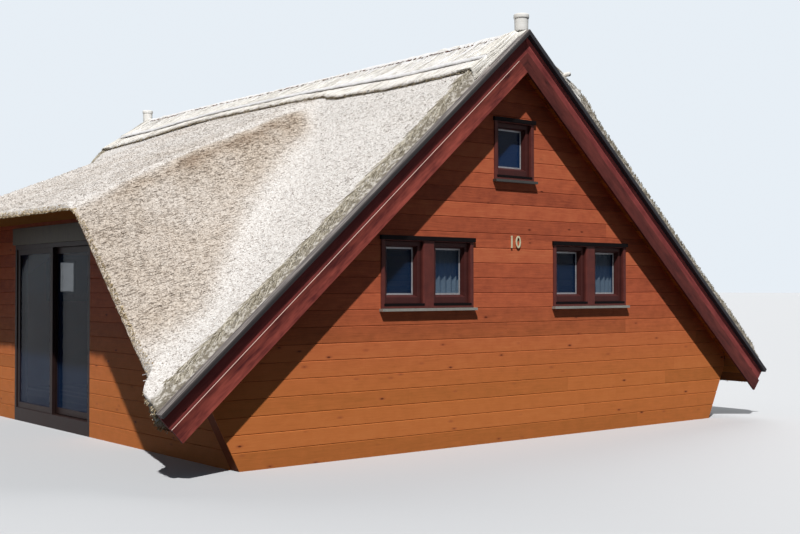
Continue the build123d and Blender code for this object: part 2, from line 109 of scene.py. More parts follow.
TWINE_RADIUS = 0.010

# Pots, as radius and height, and the bed of reed that each stands in
POT_BASE = 4.970
POT_MIDDLE = 4.926
POT_PROFILE = (
    (0.0, 4.960), (0.080, 4.960), (0.0825, 4.968), (0.0835, 4.99), (0.0850, 5.05), (0.0860, 5.106),
    (0.0865, 5.111), (0.0915, 5.114), (0.0942, 5.119), (0.0950, 5.128), (0.0950, 5.152), (0.0938, 5.161),
    (0.0905, 5.1665), (0.0840, 5.167), (0.0770, 5.163), (0.0710, 5.156), (0.0700, 5.11), (0.0690, 5.01),
    (0.066, 5.003), (0.0, 5.000),
)
BED_PROFILE = (
    (0.0, 4.900), (0.112, 4.900), (0.118, 4.925), (0.112, 4.955), (0.098, 4.972), (0.070, 4.976),
    (0.0, 4.978),
)
BED_MIDDLE = POT_MIDDLE - 0.018
BED_FOOT = 4.86
BED_FALL = 0.55

# Lower verge boards, as depths below the plane of the verge
LOWER_BOARD_TOP = 0.189
LOWER_BOARD_BOTTOM = 0.367

# Walls. A gable's boards lean out from its foot and end at a depth below the plane of the verge.
WALL_RUN = 3.88
WALL_INSIDE_RUN = 3.72
WALL_FOOT_HALF = 3.863
WALL_LEAN = 0.5
WALL_DEPTH = 0.234
WALL_APEX = VERGE_APEX - WALL_DEPTH / math.cos(PITCH)
GABLE_INSIDE = 4.635
RIGHT_WALL_TOP = 1.26
TERRACE_WALL_TOP = 2.80
TERRACE_WALL_BEND = 1.30
OVER_DOOR_TOP = 2.86
BOARD_COVER = 0.1782
FIRST_JOINT = 0.187
BOARD_THICKNESS = 0.018
BOARD_BEVEL = 0.0055
BOARD_GAP = 0.0012
BUTT_GAP = 0.0006
SAWN_EDGE = 0.0002
OPENING_GAP = 0.002

# Windows on a gable: centre, sill height, width, height and number of sashes
WINDOWS = {
    "left_window": (-1.37, 1.62, 1.38, 0.81, 2),
    "right_window": (1.37, 1.62, 1.38, 0.81, 2),
    "loft_window": (0.0, 3.16, 0.67, 0.745, 1),
}
WINDOW_PROUD = 0.015
WINDOW_DEPTH = 0.15
FRAME_BAR = 0.050
SASH_BAR = 0.066
SASH_FOOT = 0.100
SASH_DEPTH = 0.085
SASH_PLAY = 0.002
MULLION = 0.165
SASH_SETBACK = 0.045
SHADE_SETBACK = 0.035
GLASS_SETBACK = 0.118
BEAD = 0.014
CAP_BAR_EAR = 0.018
DRIP_BAR_EAR = 0.012
CURTAIN_SILL = 1.66
CURTAIN_HEAD = 2.40
CURTAIN_PLACE = -4.60

# Terrace door
DOOR_HALF = 1.25
DOOR_HEAD = 2.45


# ---- Shader maths ----


def grey(tone):
    """A colour that multiplies another by this tone."""
    return (tone, tone, tone, 1.0)


def linear(colour):
    """A paint's three screen values, from 0 to 255, as a linear colour. Any other colour stays as it is."""
    if not isinstance(colour, tuple) or len(colour) != 3:
        return colour
    screen = np.array(colour) / 255
    values = np.where(screen <= 0.04045, screen / 12.92, ((screen + 0.055) / 1.055) ** 2.4)
    return (*values.tolist(), 1.0)


class Value:
    """A number or vector that changes over a surface. Arithmetic on it adds Math nodes."""

    def __init__(self, nodes, socket):
        self.nodes = nodes
        self.socket = socket

    def math(self, operation, *values):
        return self.nodes.node("ShaderNodeMath", {"operation": operation}, dict(enumerate(values)))

    def __add__(self, other):
        return self.math("ADD", self, other)

    __radd__ = __add__

    def __sub__(self, other):
        return self.math("SUBTRACT", self, other)

    def __rsub__(self, other):
        return self.math("SUBTRACT", other, self)

    def __mul__(self, other):
        return self.math("MULTIPLY", self, other)

    __rmul__ = __mul__

    def __abs__(self):
        return self.math("ABSOLUTE", self)

    def step(self, low, high):
        """Eased from 0 at low to 1 at high."""
        inputs = {"Value": self, "From Min": low, "From Max": high}
        return self.nodes.node("ShaderNodeMapRange", {"interpolation_type": "SMOOTHSTEP"}, inputs)


class Nodes:
    """The nodes of a material or of the world."""

    def __init__(self, tree):
        self.tree = tree
        tree.nodes.clear()

    def feed(self, socket, value):
        """Links a Value to a socket, or sets a plain number, vector or colour on it."""
        if isinstance(value, Value):
            self.tree.links.new(value.socket, socket)
        else:
            socket.default_value = value

    def node(self, kind, settings, inputs, output=0):
        """Adds a node, with its settings first and then its sockets, and gives back one output."""
        made = self.tree.nodes.new(kind)
        for name, setting in settings.items():
            if name == "stops":
                self.set_stops(made.color_ramp.elements, setting)
            else:
                setattr(made, name, setting)
        for name, value in inputs.items():
            self.feed(made.inputs[name], value)
        return Value(self, made.outputs[output])

    def set_stops(self, elements, stops):
        while len(elements) < len(stops):
            elements.new(0.5)
        for element, (position, colour) in zip(elements, stops):
            element.position = position
            element.color = linear(colour)

    def rays(self):
        """1 for rays from the camera, for rays off a gloss, and for rays that pass through glass."""
        kinds = ("Is Camera Ray", "Is Glossy Ray", "Is Transmission Ray")
        return [self.node("ShaderNodeLightPath", {}, {}, kind) for kind in kinds]


class Finish(Nodes):
    """One procedural material. Colours are given as a paint's screen values."""

    def __init__(self, name, **constants):
        self.material = bpy.data.materials.new(name)
        self.material.use_nodes = True
        super().__init__(self.material.node_tree)
        output = self.tree.nodes.new("ShaderNodeOutputMaterial")
        self.shader = self.tree.nodes.new("ShaderNodeBsdfPrincipled")
        self.tree.links.new(self.shader.outputs[0], output.inputs["Surface"])
        for socket, value in constants.items():
            self.shader.inputs[socket.replace("_", " ")].default_value = value

    def place(self):
        """Point on the piece, in metres."""
        return self.node("ShaderNodeTexCoord", {}, {}, "Object")

    def map(self, name):
        """The piece's own flat map, in metres."""
        return self.node("ShaderNodeUVMap", {"uv_map": name}, {})

    def attributes(self, *names):
        """Numbers stored on the piece's points."""
        return [self.node("ShaderNodeAttribute", {"attribute_name": name}, {}, "Fac") for name in names]

    def axes(self, vector):
        """The three numbers of a vector."""
        return [self.node("ShaderNodeSeparateXYZ", {}, {0: vector}, axis) for axis in "XYZ"]

    def vector(self, x, y, z):
        return self.node("ShaderNodeCombineXYZ", {}, {0: x, 1: y, 2: z})

    def scaled(self, place, size):
        """A point counted in units of this size along X, Y and Z."""
        return self.node("ShaderNodeVectorMath", {"operation": "DIVIDE"}, {0: place, 1: size})

    def noise(self, place, size, detail=2.0, roughness=0.55, distortion=0.0):
        """Cloudy pattern whose blotches have this size along X, Y and Z."""
        values = {"Vector": self.scaled(place, size), "Scale": 1.0, "Detail": detail}
        values |= {"Roughness": roughness, "Distortion": distortion}
        return self.node("ShaderNodeTexNoise", {}, values, "Fac")

    def cells(self, place, size, output="Distance"):
        """Cells of this size along X, Y and Z: the distance from each cell's middle, or its own colour."""
        values = {"Vector": self.scaled(place, size), "Scale": 1.0}
        return self.node("ShaderNodeTexVoronoi", {}, values, output)

    def mix(self, factor, low, high, how="MIX"):
        """Colour that goes from low to high with the factor."""
        settings = {"data_type": "RGBA", "blend_type": how}
        return self.node("ShaderNodeMix", settings, {0: factor, 6: linear(low), 7: linear(high)}, 2)

    def ramp(self, factor, *stops):
        """Colour looked up along a row of stops."""
        return self.node("ShaderNodeValToRGB", {"stops": stops}, {0: factor}, "Color")

    def rake(self):
        """Distance down the slope from the ridge, distance along the house and depth below the verge plane,
        as a vector, and then x, the distance along the house and the depth alone."""
        x, y, z = self.axes(self.place())
        run, drop = abs(x), VERGE_APEX - z
        depth = drop * math.cos(PITCH) - run * math.sin(PITCH)
        return self.vector(run * math.cos(PITCH) + drop * math.sin(PITCH), y, depth), x, y, depth

    def done(self, colour, relief, depth, roughness=None):
        """Feeds the shader a colour, a bump of this depth and a roughness, and gives back the material."""
        self.feed(self.shader.inputs["Base Color"], colour)
        bump = self.node("ShaderNodeBump", {}, {"Height": relief, "Distance": depth, "Strength": 1.0})
        self.feed(self.shader.inputs["Normal"], bump)
        if roughness is not None:
            self.feed(self.shader.inputs["Roughness"], roughness)
        return self.material


# ---- Finishes ----


def reed_field_finish():
    """Weathered reed: cut ends seen as fine specks, painted shade as short dark marks along the courses and
    beside the verges, browner where damp stays, and brown underneath, painted lighter as painted bounce
    light."""
    finish = Finish("weathered_reed", Roughness=0.92, Specular_IOR_Level=0.03)
    place = finish.place()
    weather, verge, tone, below = finish.attributes("weather", "verge", "tone", "below")
    x, y, z = finish.axes(place)
    end_light = finish.axes(finish.cells(place, (0.010, 0.013, 0.010), "Color"))[0]
    speck = finish.noise(place, (0.017, 0.024, 0.017), 2.0, 0.65)
    clump = finish.noise(place, (0.040, 0.055, 0.040), 2.0, 0.6)
    course = z - x * COURSE_LEAN - abs(y) * COURSE_SLANT
    dash = finish.noise(finish.vector(x, y, course), (0.060, 0.075, 0.013), 1.5, 0.5, 0.2)
    patch = finish.noise(place, (0.55, 0.9, 0.55), 3.0, 0.6)
    light = end_light * 0.20 + speck * 1.05 + clump * 0.32 + tone * 0.26 - 0.43
    pale = finish.ramp(
        light,
        (0.10, (128, 119, 112)),
        (0.32, (198, 190, 184)),
        (0.50, (234, 229, 225)),
        (0.72, (248, 245, 242)),
        (1.0, (254, 252, 251)),
    )
    damp = finish.ramp(
        light,
        (0.10, (94, 80, 67)),
        (0.32, (158, 142, 126)),
        (0.52, (203, 188, 173)),
        (0.78, (226, 213, 198)),
        (1.0, (240, 230, 218)),
    )
    wet = (weather + (patch - 0.5) * 0.5).step(0.10, 1.0)
    streak = weather.step(0.80, 1.10)
    base = finish.mix(wet, pale, damp)
    # Painted shade: short dark marks under the steps of the courses, stronger where the reed is damp.
    painted_course_shade = dash.step(0.43, 0.34) * (0.10 + wet * 0.60 + streak * 0.30)
    base = finish.mix(painted_course_shade, base, (96, 80, 66))
    base = finish.mix(streak * 0.50, base, (138, 112, 90))
    # Beside the verges: greyer, partly moss and partly painted shade between the laid reeds, with painted
    # shade as dark marks in the gaps between them.
    painted_verge_gap_shade = verge * finish.noise(place, (0.12, 0.03, 0.05), 2.0).step(0.42, 0.56)
    base = finish.mix(verge * 0.50, base, (158, 150, 134))
    base = finish.mix(painted_verge_gap_shade * 0.72, base, (104, 94, 76))
    # Underside: brown reed, painted lighter to stand in for light bounced up from the ground.
    painted_bounce_underside = finish.mix(speck, (160, 98, 46), (224, 158, 88))
    base = finish.mix(below, base, painted_bounce_underside)
    base = finish.mix(below * verge, base, (72, 34, 22))
    return finish.done(base, speck * 0.7 + end_light * 0.3 + clump * 0.6 - painted_course_shade * 0.8, 0.011)


def reed_straw_finish(name, low, middle, high, length=0.16):
    """Single reeds seen along their length, each with its own tone, streaked down the stem."""
    finish = Finish(name, Roughness=0.8, Specular_IOR_Level=0.06)
    stems = finish.rake()[0]
    tone = finish.attributes("tone")[0]
    streak = finish.noise(stems, (length, 0.007, 0.007), 2.0, 0.6)
    light = tone * 0.75 + streak * 0.65 - 0.2
    return finish.done(finish.ramp(light, (0.0, low), (0.45, middle), (1.0, high)), streak, 0.003)


def cap_finish():
    """Newer reed laid over the ridge: pale, streaked along the stems, and dark brown under the lips, as
    painted shade together with the darker cut reed ends.
    """
    finish = Finish("ridge_reed_layer", Roughness=0.85, Specular_IOR_Level=0.05)
    stems = finish.rake()[0]
    fine = finish.noise(stems, (0.30, 0.009, 0.02), 2.0, 0.6)
    broad = finish.noise(stems, (0.55, 0.05, 0.1), 3.0, 0.6)
    patch = finish.noise(stems, (0.5, 0.7, 0.5), 2.0)
    # The weather attribute here carries the painted shade under the lip.
    painted_lip_shade, lower = finish.attributes("weather", "lower")
    straw = finish.ramp(
        fine * 0.65 + broad * 0.45 - 0.05,
        (0.22, (184, 178, 172)),
        (0.38, (224, 221, 220)),
        (0.56, (241, 240, 242)),
        (0.85, (252, 252, 254)),
    )
    cream = finish.mix((patch.step(0.45, 0.7) * 0.3 + 0.22) * lower, straw, (236, 224, 202))
    return finish.done(finish.mix(painted_lip_shade, cream, (92, 80, 62)), fine * 0.7 + broad * 0.6, 0.010)


def board_finish(name, pale, middle, dark, knot):
    """Stained softwood boards: grain along each board, knots with a halo, a tone of its own for each board,
    and a painted warm glow near the ground, standing in for light reflected up from the reeds."""
    finish = Finish(name, Specular_IOR_Level=0.07)
    tone = finish.attributes("tone")[0]
    along, across, _ = finish.axes(finish.map("grain"))
    wander = finish.noise(finish.vector(along, across, 0.0), (0.45, 0.06, 1.0), 2.0)
    bent = finish.vector(along, across + wander * 0.05, 0.0)
    grain = finish.noise(bent, (0.50, 0.010, 1.0), 3.0, 0.6)
    fine = finish.noise(bent, (0.12, 0.0022, 1.0), 2.0, 0.6)
    blotch = finish.noise(finish.vector(along, across, tone), (0.16, 0.11, 0.3), 3.0, 0.6)
    knots = finish.cells(finish.vector(along, across, tone), (0.42, 0.16, 1.0))
    heart = knots.step(0.075, 0.035)
    light = grain * 0.50 + fine * 0.20 + blotch * 0.42 + tone * 0.34 - 0.36
    wood = finish.ramp(light, (0.10, dark), (0.45, middle), (0.90, pale))
    # Painted light: yellower towards the ground, standing in for light reflected up from the reeds.
    painted_bounce_glow = finish.axes(finish.place())[2].step(1.9, 0.5)
    wood = finish.mix(painted_bounce_glow * 0.45, wood, (222, 142, 62))
    wood = finish.mix(knots.step(0.16, 0.05) * 0.45, wood, dark)
    wood = finish.mix(heart * 0.85, wood, knot)
    relief = grain * 0.7 + fine * 0.5 - heart * 0.4
    return finish.done(wood, relief, 0.0018, 0.5 + grain * 0.16 - blotch * 0.08)


def verge_board_finish(name, light, dark, arris_depth=0, tones=(1.0, 1.0), right_painted_light_tones=(1.0, 1.0)):
    """Red-brown stained verge board: grain down the rake, darker patches and small knots, a painted highlight
    on the outer top edge at a depth below the verge with painted shade over the rest of that edge, tones that
    go from the lower board's top to its bottom, and right of the ridge two more tones, painted lighter under
    the flashing and below that, as painted light."""
    finish = Finish(name, Specular_IOR_Level=0.08)
    along, x, across, depth = finish.rake()
    grain = finish.noise(along, (0.40, 0.02, 0.012), 3.0, 0.6, 0.4)
    fine = finish.noise(along, (0.10, 0.004, 0.003), 2.0, 0.6)
    patch = finish.noise(along, (0.42, 0.1, 0.10), 3.0, 0.65)
    spot = finish.cells(along, (0.55, 0.6, 0.13)).step(0.085, 0.03)
    mixed = grain * 0.45 + fine * 0.20 + patch * 1.5 - 0.62
    stain = finish.ramp(mixed, (0.15, dark), (0.75, light))
    stain = finish.mix(spot * 0.8, stain, (48, 20, 20))
    # Painted light: right of the ridge the board is lightened where the flashing's cast shadow falls, and by
    # a second tone below it.
    under, clear = (grey(tone) for tone in right_painted_light_tones)
    right = finish.mix(depth.step(0.075, 0.100), under, clear)
    stain = finish.mix(x.step(0.0, 0.02), stain, right, "MULTIPLY")
    top, bottom = (grey(tone) for tone in tones)
    tone = finish.mix(depth.step(LOWER_BOARD_TOP, LOWER_BOARD_BOTTOM), top, bottom)
    stain = finish.mix(1.0, stain, tone, "MULTIPLY")
    if arris_depth:
        # Painted shade over the board's top edge, and a painted highlight along its outer part, where the sun
        # catches the edge.
        painted_top_edge_shade = depth.step(arris_depth + 0.0010, arris_depth + 0.0004)
        stain = finish.mix(painted_top_edge_shade * 0.7, stain, (52, 26, 28))
        painted_arris_highlight = painted_top_edge_shade * abs(across).step(BOARD_FRONT - 0.015, BOARD_FRONT - 0.009) * fine.step(0.15, 0.4)
        stain = finish.mix(painted_arris_highlight, stain, (232, 200, 188))
    return finish.done(stain, grain * 0.6 + fine * 0.4 - spot * 0.4, 0.0016, 0.45 + patch * 0.25)


def flashing_finish():
    """Folded dark grey sheet with run marks and dust, its face painted darker downwards and right of the
    ridge as painted shade, and its upper flange painted lighter as painted light from above.
    """
    finish = Finish("folded_grey_sheet", Metallic=0.2, Specular_IOR_Level=0.4)
    along, x, _, depth = finish.rake()
    runs = finish.noise(along, (0.5, 0.016, 0.03), 2.0)
    dust = finish.noise(along, (0.08, 0.05, 0.05), 3.0, 0.7)
    # Painted shade: the face darkens downwards, and more on the right of the ridge.
    face = finish.mix(depth.step(-FLASHING_RISE, 0.012), (88, 81, 80), (32, 27, 28))
    face = finish.mix(x.step(0.0, 0.02) * 0.75, face, (34, 32, 38))
    face = finish.mix(runs.step(0.35, 0.7) * 0.3, face, (22, 19, 20))
    # Painted light: the upper flange is painted lighter than the face, as if lit from above, with run marks
    # and dust.
    stops = (0.32, (58, 53, 53)), (0.50, (112, 104, 101)), (0.68, (166, 157, 153))
    painted_lit_flange = finish.ramp(runs * 0.8 + dust * 0.2, *stops)
    flange = depth.step(0.004 - FLASHING_RISE, 0.001 - FLASHING_RISE)
    return finish.done(finish.mix(flange, face, painted_lit_flange), dust * 0.4 + runs * 0.4, 0.0012, 0.42 + dust * 0.3)


def joinery_finish(name, light, dark, gloss=0.36, recess=None):
    """Painted window wood: satin paint over faint grain, level and upright, and painted shade where it lies
    behind the recess, a distance from the middle of the house."""
    finish = Finish(name, Specular_IOR_Level=0.12)
    place = finish.place()
    level = finish.noise(place, (0.22, 0.01, 0.006), 2.0, 0.6)
    upright = finish.noise(place, (0.006, 0.01, 0.22), 2.0, 0.6)
    cloud = finish.noise(place, (0.12, 0.12, 0.12), 2.0)
    paint = finish.ramp(level * 0.4 + upright * 0.4 + cloud * 0.5 - 0.15, (0.2, dark), (0.8, light))
    if recess:
        # Painted shade on the sashes that sit back in the frame.
        painted_recess_shade = abs(finish.axes(place)[1]).step(recess, recess - 0.006)
        paint = finish.mix(painted_recess_shade * 0.55, paint, (34, 18, 20))
    return finish.done(paint, level * 0.5 + upright * 0.5, 0.0006, gloss + cloud * 0.12)


def sheet_finish(name, light, dark, metallic=0.3, rough=0.4, loft_tone=1.0):
    """Coated sheet with faint weather streaks, and with a tone of its own on the loft window."""
    finish = Finish(name, Metallic=metallic, Specular_IOR_Level=0.5)
    place = finish.place()
    streak = finish.noise(place, (0.012, 0.05, 0.12), 2.0)
    cloud = finish.noise(place, (0.2, 0.05, 0.05), 3.0, 0.7)
    coat = finish.ramp(streak * 0.5 + cloud * 0.5, (0.3, dark), (0.7, light))
    loft = finish.axes(place)[2].step(2.6, 2.8)
    coat = finish.mix(loft, coat, grey(loft_tone), "MULTIPLY")
    return finish.done(coat, cloud, 0.0005, rough + cloud * 0.2)


def glass_finish():
    """Tinted double glazing: a dark, slightly blue pane that shows some of the room, with faint smears."""
    finish = Finish("window_glass", Specular_IOR_Level=0.14, IOR=1.5)
    place = finish.place()
    smear = finish.noise(place, (0.25, 0.25, 0.12), 3.0, 0.7)
    loft = finish.axes(place)[2].step(2.6, 3.0)
    tint = finish.mix(loft, (26, 52, 88), (20, 52, 98))
    finish.feed(finish.shader.inputs["Base Color"], finish.mix(smear * 0.4, tint, (44, 62, 90)))
    finish.feed(finish.shader.inputs["Roughness"], 0.03 + smear * 0.05)
    finish.feed(finish.shader.inputs["Alpha"], 0.34 + smear * 0.12 + loft * 0.2)
    finish.material.surface_render_method = "BLENDED"
    return finish.material


def cloth_finish():
    """Thin woven curtain cloth, pale blue-grey."""
    finish = Finish("curtain_cloth", Roughness=0.9, Specular_IOR_Level=0.1)
    weave_map = finish.map("weave")
    warp = finish.noise(weave_map, (0.0012, 0.02, 1.0), 1.0)
    weft = finish.noise(weave_map, (0.02, 0.0012, 1.0), 1.0)
    cloth = finish.ramp(warp * 0.5 + weft * 0.5, (0.3, (176, 214, 238)), (0.7, (220, 240, 254)))
    return finish.done(cloth, warp + weft, 0.0006)


def clay_finish():
    """Pale unglazed clay with throwing rings, lime bloom and rain stains."""
    finish = Finish("pale_clay", Roughness=0.85, Specular_IOR_Level=0.1)
    place = finish.place()
    rings = finish.noise(place, (0.4, 0.4, 0.006), 1.0)
    bloom = finish.noise(place, (0.05, 0.05, 0.08), 3.0, 0.7)
    stain = finish.noise(place, (0.02, 0.02, 0.15), 2.0)
    clay = finish.ramp(bloom, (0.3, (250, 246, 240)), (0.7, (255, 254, 251)))
    clay = finish.mix(stain.step(0.60, 0.78) * 0.35, clay, (180, 168, 150))
    return finish.done(clay, rings * 0.8 + bloom * 0.4, 0.002)


def paint_finish():
    """Cream enamel on the figures, dulled by weather."""
    finish = Finish("cream_enamel", Specular_IOR_Level=0.5)
    cloud = finish.noise(finish.place(), (0.03, 0.03, 0.03), 3.0, 0.7)
    enamel = finish.ramp(cloud, (0.3, (206, 198, 160)), (0.7, (232, 226, 196)))
    return finish.done(enamel, cloud, 0.0004, 0.35 + cloud * 0.3)


def steel_finish():
    """Brushed steel, with fine lines along the bar."""
    finish = Finish("brushed_steel_bar", Metallic=0.95)
    lines = finish.noise(finish.place(), (0.0008, 0.0008, 0.05), 2.0)
    steel = finish.ramp(lines, (0.3, (150, 150, 152)), (0.7, (196, 196, 198)))
    return finish.done(steel, lines, 0.0002, 0.25 + lines * 0.2)


def plank_finish(name, light, dark, width):
    """Planed boards along the house, side by side, with a dark joint at each board's edge, a tone for each
    board and long grain."""
    finish = Finish(name, Specular_IOR_Level=0.1)
    across, along, _ = finish.axes(finish.place())
    number = across * (1 / width)
    row = number.math("FLOOR", number)
    tone = finish.node("ShaderNodeTexWhiteNoise", {"noise_dimensions": "1D"}, {"W": row}, "Value")
    grain = finish.noise(finish.vector(along, across, tone * 8.0), (0.5, 0.009, 1.0), 3.0, 0.6)
    joint = abs(number - row - 0.5).step(0.475, 0.495)
    wood = finish.ramp(grain * 0.7 + tone * 0.5 - 0.1, (0.2, dark), (0.8, light))
    return finish.done(finish.mix(joint, wood, (30, 18, 10)), grain * 0.3 - joint, 0.002, 0.5 + grain * 0.2)


# ---- Meshes ----


def link_object(name, data):
    """Puts data into the scene as an object."""
    item = bpy.data.objects.new(name, data)
    bpy.context.scene.collection.objects.link(item)
    return item


def add_piece(name, mesh, finish, slot, replaces):
    """Makes a mesh a piece of the house, in place of the CAD nodes that it stands for."""
    mesh.materials.clear()
    mesh.materials.append(finish)
    piece = link_object(name, mesh)
    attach(piece, "house")
    if replaces:
        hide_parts(*replaces)
    return piece


def make_piece(name, finish, slot, shape, data=None, replaces=(), smooth=False):
    """Puts a shape's points and faces into a mesh. Of its data, two numbers a point make a flat map, and one
    a point, or one for all, an attribute."""
    points, faces = shape
    mesh = bpy.data.meshes.new(name)
    mesh.from_pydata(points, [], [face for group in faces for face in np.asarray(group).tolist()])
    corner_points = np.empty(len(mesh.loops), np.int32)
    mesh.loops.foreach_get("vertex_index", corner_points)
    for key, values in (data or {}).items():
        if np.ndim(values) == 2:
            layer = mesh.uv_layers.new(name=key)
            layer.data.foreach_set("uv", values[corner_points].astype(np.float32).ravel())
        else:
            layer = mesh.attributes.new(key, "FLOAT", "POINT")
            layer.data.foreach_set("value", np.broadcast_to(values, len(points)).astype(np.float32))
    mesh.polygons.foreach_set("use_smooth", np.full(len(mesh.polygons), smooth))
    mesh.update()
    return add_piece(name, mesh, finish, slot, replaces)


def grid_faces(rows, columns, wrap=False):
    """Quads over a grid of points, with the last column joined to the first where it wraps."""
    low = np.arange(rows - 1)[:, None] * columns
    column = np.arange(columns if wrap else columns - 1)[None, :]
    after = (column + 1) % columns
    corners = [low + column, low + after, low + columns + after, low + columns + column]
    return np.stack(corners, -1).reshape(-1, 4)


def shell_faces(rows, count):
    """Faces of a closed shell: a loop of points carried through rows, with a face over each end."""
    ends = np.array([np.arange(count)[::-1], (rows - 1) * count + np.arange(count)])
    return [grid_faces(rows, count, wrap=True), ends]


def join_shapes(shapes):
    """Several shapes as one."""
    points, faces, start = [], [], 0
    for shape_points, shape_faces in shapes:
        points.append(shape_points)
        faces += [np.asarray(group) + start for group in shape_faces]
        start += len(shape_points)
    return np.concatenate(points), faces


def turned(shape, flip):
    """The same shape with its faces turned over where it was mirrored."""
    points, faces = shape
    return points, [np.asarray(group)[:, ::-1] if flip else np.asarray(group) for group in faces]


def unit(vectors):
    """Vectors of length 1."""
    return vectors / np.linalg.norm(vectors, axis=-1, keepdims=True)


def lattice_noise(u, v, size, seed):
    """Random heights on a square lattice of this size, blended between its corners by an ease curve."""
    grid = np.random.default_rng(seed).uniform(-1, 1, (256, 256))
    a, b = u / size + 1000, v / size + 1000
    i, j = np.floor(a).astype(int), np.floor(b).astype(int)
    f, g = a - i, b - j
    f, g = f * f * (3 - 2 * f), g * g * (3 - 2 * g)
    near = grid[i % 256, j % 256] * (1 - f) + grid[(i + 1) % 256, j % 256] * f
    far = grid[i % 256, (j + 1) % 256] * (1 - f) + grid[(i + 1) % 256, (j + 1) % 256] * f
    return near * (1 - g) + far * g


def ease(value, low, high):
    """0 at low, 1 at high, with a smooth start and end."""
    t = np.clip((value - low) / (high - low), 0, 1)
    return t * t * (3 - 2 * t)


def bell(value, width):
    """1 at 0, falling off on both sides over this width as a bell curve."""
    return np.exp(-((value / width) ** 2))


def soft_max(a, b, rounding):
    """The larger of two heights, with the crease between them filled over this width."""
    overlap = np.clip(rounding - np.abs(a - b), 0, None)
    return np.maximum(a, b) + overlap**2 / (4 * rounding)


def on_side(side, value):
    """A value worked out for both slopes, taken for the slope that each point lies on."""
    return np.where(side < 0, value(-1), value(1))


def reeds(starts, axes, lengths, radii, rng, taper, tones):
    """Reeds as three-sided stems: three points round each end of an axis, closed at both ends, with a tone
    for each stem between the two tones."""
    axes = unit(axes)
    side = unit(np.cross(axes, np.array([0.31, 0.17, 0.93])))
    other = np.cross(axes, side)
    angles = rng.uniform(0, 2 * np.pi, len(starts))[:, None] + np.arange(3) * 2 * np.pi / 3
    ring = np.cos(angles)[..., None] * side[:, None] + np.sin(angles)[..., None] * other[:, None]
    ring = ring * radii[:, None, None]
    low = starts[:, None] + ring
    high = starts[:, None] + axes[:, None] * lengths[:, None, None] + ring * taper
    points = np.concatenate([low, high], 1).reshape(-1, 3)
    base = np.arange(len(starts))[:, None, None] * 6
    walls = np.array([[0, 1, 4, 3], [1, 2, 5, 4], [2, 0, 3, 5]])
    ends = np.array([[2, 1, 0], [3, 4, 5]])
    faces = [(base + walls).reshape(-1, 4), (base + ends).reshape(-1, 3)]
    return (points, faces), {"tone": np.repeat(rng.uniform(*tones, len(starts)), 6)}


# ---- Roof surfaces ----


def ridge_slope(y, side):
    """Slope of the ground under the ridge cap: steeper at the ends, and flatter over the raised eave."""
    return CAP_RIGHT_SLOPE + 0 * y if side > 0 else np.interp(y, CAP_SLOPE_TURNS_Y, CAP_SLOPE_TURNS)


def pared(height, run, y, bevel):
    """A height brought down to the flashing over the last stretch before each verge."""
    share = np.clip((np.abs(y) - (VERGE_END - bevel)) / bevel, 0, 1) ** 1.7
    flashing = VERGE_APEX + FLASHING_RISE / math.cos(PITCH) - SLOPE * run
    return height + (np.minimum(flashing, height) - height) * share


def cap_bevel(run, side):
    """Width over which the ridge cap is pared to the flashing: less below the upper layer on the right."""
    return np.interp(run, (0.60, 0.78), (CAP_BEVEL, RIGHT_BEVEL)) if side > 0 else CAP_BEVEL


def steep_height(run, y, side):
    """Top of the plain slope: pared back at an angle on the terrace side, and rounded short on the other,
    where the reed stands proud of the flashing."""
    rise = THATCH_RISE / math.cos(PITCH) + (RIGHT_RISE if side > 0 else 0)
    return pared(VERGE_APEX - SLOPE * run + rise, run, y, RIGHT_BEVEL if side > 0 else VERGE_BEVEL)


def roof_height(run, y, side):
    """Top of the thatch. On the terrace side the plain slope is joined by the raised roof: its flat plane
    and its two side planes meet in rounded hips and run into the plain slope in rounded valleys. Under the
    ridge cap it becomes the cap's own ground, which fades out below the cap's edge."""
    steep = steep_height(run, y, side)
    if side < 0:
        flat = CORE_TOP - RAISED_SLOPE * run
        flank = RAISED_EDGE + SIDE_RISE * (RAISED_REACH - run) - SIDE_FALL * (np.abs(y) - RAISED_HALF)
        raised = -soft_max(-flat, -flank, HIP_ROUNDING)
        steep = soft_max(steep, raised, 0.05 + VALLEY_ROUNDING * ease(run, 0.6, 2.4))
    reach = cap_reach(y, side, True)
    under_cap = pared(CORE_TOP - 0.014 - ridge_slope(y, side) * run, run, y, cap_bevel(run, side))
    return steep + (under_cap - steep) * (1 - ease(run, reach - 0.05, reach + 0.40))


def opening_height(y):
    """Underside of the raised eave: level in the middle and falling towards both gables."""
    return RAISED_SOFFIT - SIDE_FALL * np.clip(np.abs(y) - RAISED_HALF, 0, None)


def eave_edge(y, side):
    """The eave along the house: 0 where it is raised and 1 where it is plain, the runs of its top and of its
    lower edge, and the height of its underside."""
    plain = ease(np.abs(y), *EAVE_CHANGE) if side < 0 else np.ones_like(y)
    top_run = RAISED_REACH + (EAVE_TOP_RUN - RAISED_REACH) * plain
    low_run = RAISED_REACH + (EAVE_BOTTOM_RUN - RAISED_REACH) * plain
    steep_bottom = UNDER_TOP - SLOPE * EAVE_BOTTOM_RUN
    bottom = np.where(plain > 0.999, steep_bottom, np.maximum(opening_height(y), steep_bottom))
    return plain, top_run, low_run, bottom


